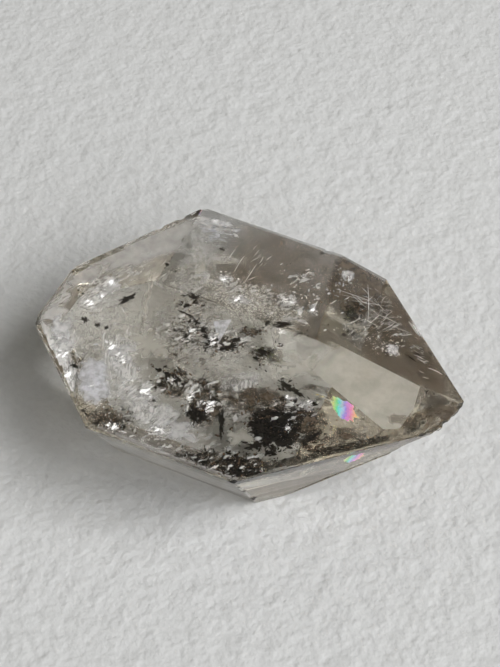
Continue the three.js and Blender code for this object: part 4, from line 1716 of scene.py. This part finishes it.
    def pale_patches(self) -> SheetPiece:
        """Soft white patches here and there under the top face."""
        finish = CloudFinish(
            "pale_patch", (0.80, 0.79, 0.79), (0.96, 0.95, 0.95), 0.9, 0.8, 0.12, (0.34, 0.66),
        )
        sheets = [
            *many(Sheet, "at depth half weight turn", (
                ((-3.4, 5.2), 1, (1.9, 0.8), 1, 30), ((0.5, 6.9), 1, (1.6, 1), 1, 44),
                ((-5.7, 6.8), 0.9, (1.1, 0.7), 1.6), ((-7.7, 6.5), 0.9, (0.7, 0.8), 1.3),
                ((4.4, 12.3), 0.9, (1.1, 1), 1.3),
            ), lean=(6, 0), wave=0.1, ragged=0.4),
            *many(Sheet, "at depth half wave ragged weight turn", (
                ((-9.4, 13.2), 0.5, (1.9, 0.8), 0.05, 0.3, 1.6, 16),
                ((-15, 1.3), 0.7, (2.2, 1.2), 0.1, 0.4, 1.1, 65),
                ((-16.7, -5.2), 0.5, (1.4, 2.2), 0.1, 0.3, 1.3, 32),
                ((-10.7, -5), 0.7, (1.8, 2.4), 0.1, 0.4, 1.1),
                ((-6.7, -9.5), 0.8, (2.6, 1.6), 0.1, 0.4, 0.8, 10),
                ((-2.4, -11.3), 0.7, (3.4, 1.7), 0.1, 0.4, 0.8, 4),
                ((5.5, -3.5), 0.9, (1.1, 0.4), 0.1, 0.4, 1.3), ((7.3, -3.8), 0.9, (1, 0.7), 0.1, 0.4),
                ((5, -9), 0.9, (1.6, 0.5), 0.1, 0.4, 0.8), ((0.4, -3.6), 1, (3.4, 1.2), 0.1, 0.4, 0.6, 37),
                ((11.6, 5.6), 0.8, (0.9, 0.9), 0.1, 0.4, 1.1), ((3, 6.9), 1, (0.5, 0.8), 0.1, 0.4, 1.5),
                ((2.1, 6.1), 1, (0.4, 0.7), 0.1, 0.4, 1.3),
            ), lean=(4, 0)),
        ]
        return SheetPiece("pale_patches", "white_veil", finish, sheets, 36, cell_mm=0.16)

    def window_haze(self) -> SheetPiece:
        """Thin even haze in soft patches, and painted light: the pale film with straight sides over the
        clear right part stands in for its bright reflection, and two patches paint light over shadows seen
        through the stone.
        """
        finish = CloudFinish(
            "beige_haze_and_painted_light", (0.77, 0.74, 0.66), (0.89, 0.86, 0.78), 2.2, 0.66, 0.52, (0.3, 0.7),
        )
        sides = (
            ((7.4, 3.9), (15.4, 2.6)),
            ((15.4, 2.6), (15.8, 0.1)),
            ((15.8, 0.1), (15.5, -2.6)),
            ((15.5, -2.6), (12.9, -4.1)),
            ((7.4, -0.5), (12.9, -2.8)),
        )
        sheets = [
            # Painted light: a pale film with straight sides for the bright reflection in the clear right
            # part.
            Sheet((12.2, 0.4), 0.4, (7.6, 7.6), 22, (0, 0), 0.03, 4.0, 0.0, 1.0, sides),
            *many(Sheet, "at depth half ragged weight lean turn", (
                # The first two patches are painted light over shadows seen through the stone.
                ((-8.7, -3.4), 0.9, (3.6, 2.6), 0.5, 0.75, (4, 4)),
                ((3.1, -9.6), 1, (2.2, 1.7), 0.5, 0.6, (4, 4)),
                ((-8.4, 8), 1.2, (4.4, 3.4), 0.6, 0.55, (4, 4)), ((4.8, 0.2), 1.2, (4.6, 2.8), 0.5, 0.55),
                ((-2, 5.1), 1, (9, 3), 0.5, 0.45, (0, 0), -5),
            ), wave=0.1, wave_mm=3),
        ]
        return SheetPiece("window_haze", "white_veil", finish, sheets, 30)

    def smoky_strips(self) -> SheetPiece:
        """Long smoky strips along the right front rim and in the tip."""
        finish = CloudFinish(
            "smoky_strip", (0.05, 0.042, 0.032), (0.15, 0.13, 0.10), 0.9, 0.9, 0.5, (0.3, 0.7),
        )
        sheets = many(Sheet, "at depth half turn weight", (
            ((12.4, -6.4), 1, (5.4, 0.75), 41), ((8.3, -10.2), 0.9, (3.6, 0.8), 44),
            ((16.9, -1.9), 0.8, (1.6, 0.9), 44), ((17.4, 1.3), 0.9, (1.6, 1.5), 22, 0.7),
        ), lean=(4, 0), wave=0.1, wave_mm=3, ragged=0.2)
        return SheetPiece("smoky_strips", "carbon_inclusion", finish, sheets, 31)

    def frosted_disc(self) -> SheetPiece:
        """The pale triangle, and bluish films that are painted reflections at the left disc and at the back
        corner.
        """
        finish = CloudFinish(
            "frosted_disc", (0.84, 0.84, 0.88), (0.95, 0.95, 0.98), 0.5, 0.95, 0.4
        )
        triangle = (
            ((-4.7, 1.7), (-3.2, 2.6)),
            ((-3.2, 2.6), (-3.1, -0.4)),
            ((-3.1, -0.4), (-4.7, 1.7)),
        )
        sheets = [
            # Painted reflection: a bluish film for the sheen at the left disc.
            Sheet((-11.4, -9.3), 0.4, (1.9, 3.5), 28, (0, 0), 0.05, ragged=0.2, weight=0.9),
            Sheet((-3.7, 1.2), 0.7, (1.9, 1.9), 22, (0, 0), 0.03, 4.0, 0.0, 1.25, triangle),
            # Painted reflection: a bluish film for the sheen at the back corner.
            Sheet((-9.4, 12.3), 0.85, (2.8, 1.5), 7, (0, 0), 0.05, ragged=0.5, weight=0.9),
        ]
        return SheetPiece("frosted_disc", "white_veil", finish, sheets, 23)

    def rainbow_crack(self) -> SheetPiece:
        """The thin crack that shows rainbow colours from above and from the side."""
        centre = Vector((9.8, -1.35, 6.9)) * MM
        along = Vector((0.93, -0.26, 0.26)).normalized()
        finish = RainbowFinish("rainbow_gap", along, centre, 1.7 * MM)
        sheets = [
            Sheet((10.3, -2.8), 3.7, (2.2, 1.5), -16, (65, 0), 0.1, 1.5, ragged=0.4),
        ]
        return SheetPiece("rainbow_crack", "rainbow_fracture", finish, sheets, 24, cell_mm=0.08)


# ---------------------------------------------------------------------------------------------
# Floor, light and camera
# ---------------------------------------------------------------------------------------------


@dataclass
class Stage:
    """A sheet of paper, a soft sky and a soft window, and the camera."""

    look_at: Vector = field(default_factory=lambda: Vector((-0.989, 1.756, 10.6)) * MM)
    azimuth: float = math.radians(22.05)
    elevation: float = math.radians(49.64)
    roll: float = math.radians(2.5)
    distance: float = 201.3 * MM
    focal_px: float = 2200.0
    image_height_px: int = 667
    sensor: float = 24.0
    paper_size: float = 3.0
    paper_gap: float = 0.02 * MM
    sky_tint: Triple = (1.0, 0.97, 0.86)
    sky_dark: float = 0.05
    sky_bright: float = 0.66
    zenith_share: float = 0.22
    bright_side: Triple = (-0.5, 0.87, 0.0)
    side_fade: Pair = (-0.6, 0.6)
    zenith_fade: Pair = (0.22, 0.65)
    window_place: Triple = (0.72, -0.24, 0.80)
    window_size: float = 0.75
    window_watts: float = 13.2
    window_tint: Triple = (0.985, 0.99, 1.0)
    door_place: Triple = (0.42, -0.80, 0.58)
    door_size: float = 0.6
    door_watts: float = 4.0

    def level(self, right: float, away: float, up: float) -> Vector:
        """Turns a direction given as right, away from the viewer and up into the crystal's axes."""
        across = Vector((math.cos(self.azimuth), -math.sin(self.azimuth), 0.0))
        ahead = Vector((math.sin(self.azimuth), math.cos(self.azimuth), 0.0))
        flat = Vector((right, away, up))
        return Vector((flat.dot(across), flat.dot(ahead), up))

    def build(self) -> None:
        """Builds the floor, the lights and the camera."""
        self._lay_paper()
        self._light_sky()
        self._hang_lamp("window", self.window_place, self.window_size, self.window_watts)
        self._hang_lamp("doorway", self.door_place, self.door_size, self.door_watts)
        self._aim_camera()
        self._set_light_paths()

    def _lay_paper(self) -> None:
        """The sheet of paper under the crystal."""
        bm = bmesh.new()
        bmesh.ops.create_grid(bm, x_segments=8, y_segments=8, size=self.paper_size / 2)
        bmesh.ops.translate(bm, vec=(0.0, 0.0, -self.paper_gap), verts=bm.verts)
        paper = to_object("paper", bm, (PaperFinish().make(),))

    def _light_sky(self) -> None:
        """A soft room: bright to the left and behind, dark in front, dimmer overhead."""
        world = bpy.data.worlds.new("soft_room")
        world.use_nodes = True
        bpy.context.scene.world = world
        graph = Graph(world.node_tree)
        ray = graph.add("ShaderNodeTexCoord").outputs["Generated"]
        side = graph.project(ray, self.level(*self.bright_side).normalized())
        up = graph.project(ray, (0, 0, 1))
        across = side.ease(*self.side_fade, self.sky_dark, self.sky_bright)
        overhead = up.ease(*self.zenith_fade, 1.0, self.zenith_share)
        inputs = {"Color": (*self.sky_tint, 1.0), "Strength": across * overhead}
        background = graph.add("ShaderNodeBackground", None, inputs).outputs["Background"]
        graph.add("ShaderNodeOutputWorld", None, {"Surface": background})

    def _hang_lamp(self, name: str, place: Triple, size: float, watts: float) -> None:
        """One large soft light that faces the crystal.

        Args:
            name: the lamp's name.
            place: where it stands: right, away and up, in metres.
            size: its side in metres.
            watts: its power.
        """
        lamp = bpy.data.lights.new(name, "AREA")
        lamp.shape = "SQUARE"
        lamp.size = size
        lamp.energy = watts
        lamp.color = self.window_tint
        obj = bpy.data.objects.new(name, lamp)
        obj.location = self.level(*place)
        obj.rotation_euler = (-obj.location).to_track_quat("-Z", "Y").to_euler()
        bpy.context.scene.collection.objects.link(obj)

    def _aim_camera(self) -> None:
        """The camera, looking down on the crystal from the front."""
        sight = Vector((0.0, math.cos(self.elevation), -math.sin(self.elevation)))
        level_up = Vector((0.0, math.sin(self.elevation), math.cos(self.elevation)))
        level_right = Vector((1.0, 0.0, 0.0))
        right = math.cos(self.roll) * level_right + math.sin(self.roll) * level_up
        above = math.cos(self.roll) * level_up - math.sin(self.roll) * level_right
        axes = Matrix((self.level(*right), self.level(*above), -self.level(*sight))).transposed()
        place = self.look_at - self.level(*sight) * self.distance
        camera = bpy.data.cameras.new("camera")
        camera.sensor_width = self.sensor
        camera.lens = self.sensor * self.focal_px / self.image_height_px
        camera.clip_start = 0.01
        camera.clip_end = 10.0
        obj = bpy.data.objects.new("camera", camera)
        obj.matrix_world = Matrix.Translation(place) @ axes.to_4x4()
        bpy.context.scene.collection.objects.link(obj)
        bpy.context.scene.camera = obj

    @staticmethod
    def _set_light_paths() -> None:
        """Lets light pass through the clear stone many times."""
        scene = bpy.context.scene
        scene.view_settings.view_transform = "Standard"
        paths = scene.cycles
        paths.max_bounces = 32
        paths.transmission_bounces = 32
        paths.glossy_bounces = 24
        paths.diffuse_bounces = 4
        paths.transparent_max_bounces = 48
        paths.blur_glossy = 0.0
        paths.caustics_refractive = True
        paths.caustics_reflective = True


def main() -> None:
    """Builds the stage, the crystal and what is sealed in it."""
    logging.basicConfig(level=logging.INFO, format="%(name)s: %(message)s")
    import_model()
    Stage().build()
    hull = Hull(bpy.data.objects[CAD_NODE])
    log.info("the crystal has %d large faces", len(hull.planes))
    crystal = CrystalSkin(hull).build()
    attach(crystal, BODY)
    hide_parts(CAD_NODE)
    log.info("%s: %d faces", crystal.name, len(crystal.data.polygons))
    window = TopWindow()
    for piece in Sealed().pieces():
        obj = piece.build(hull, window)
        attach(obj, BODY)
        log.info("%s: %d faces", obj.name, len(obj.data.polygons))


if __name__ == "__main__":
    main()
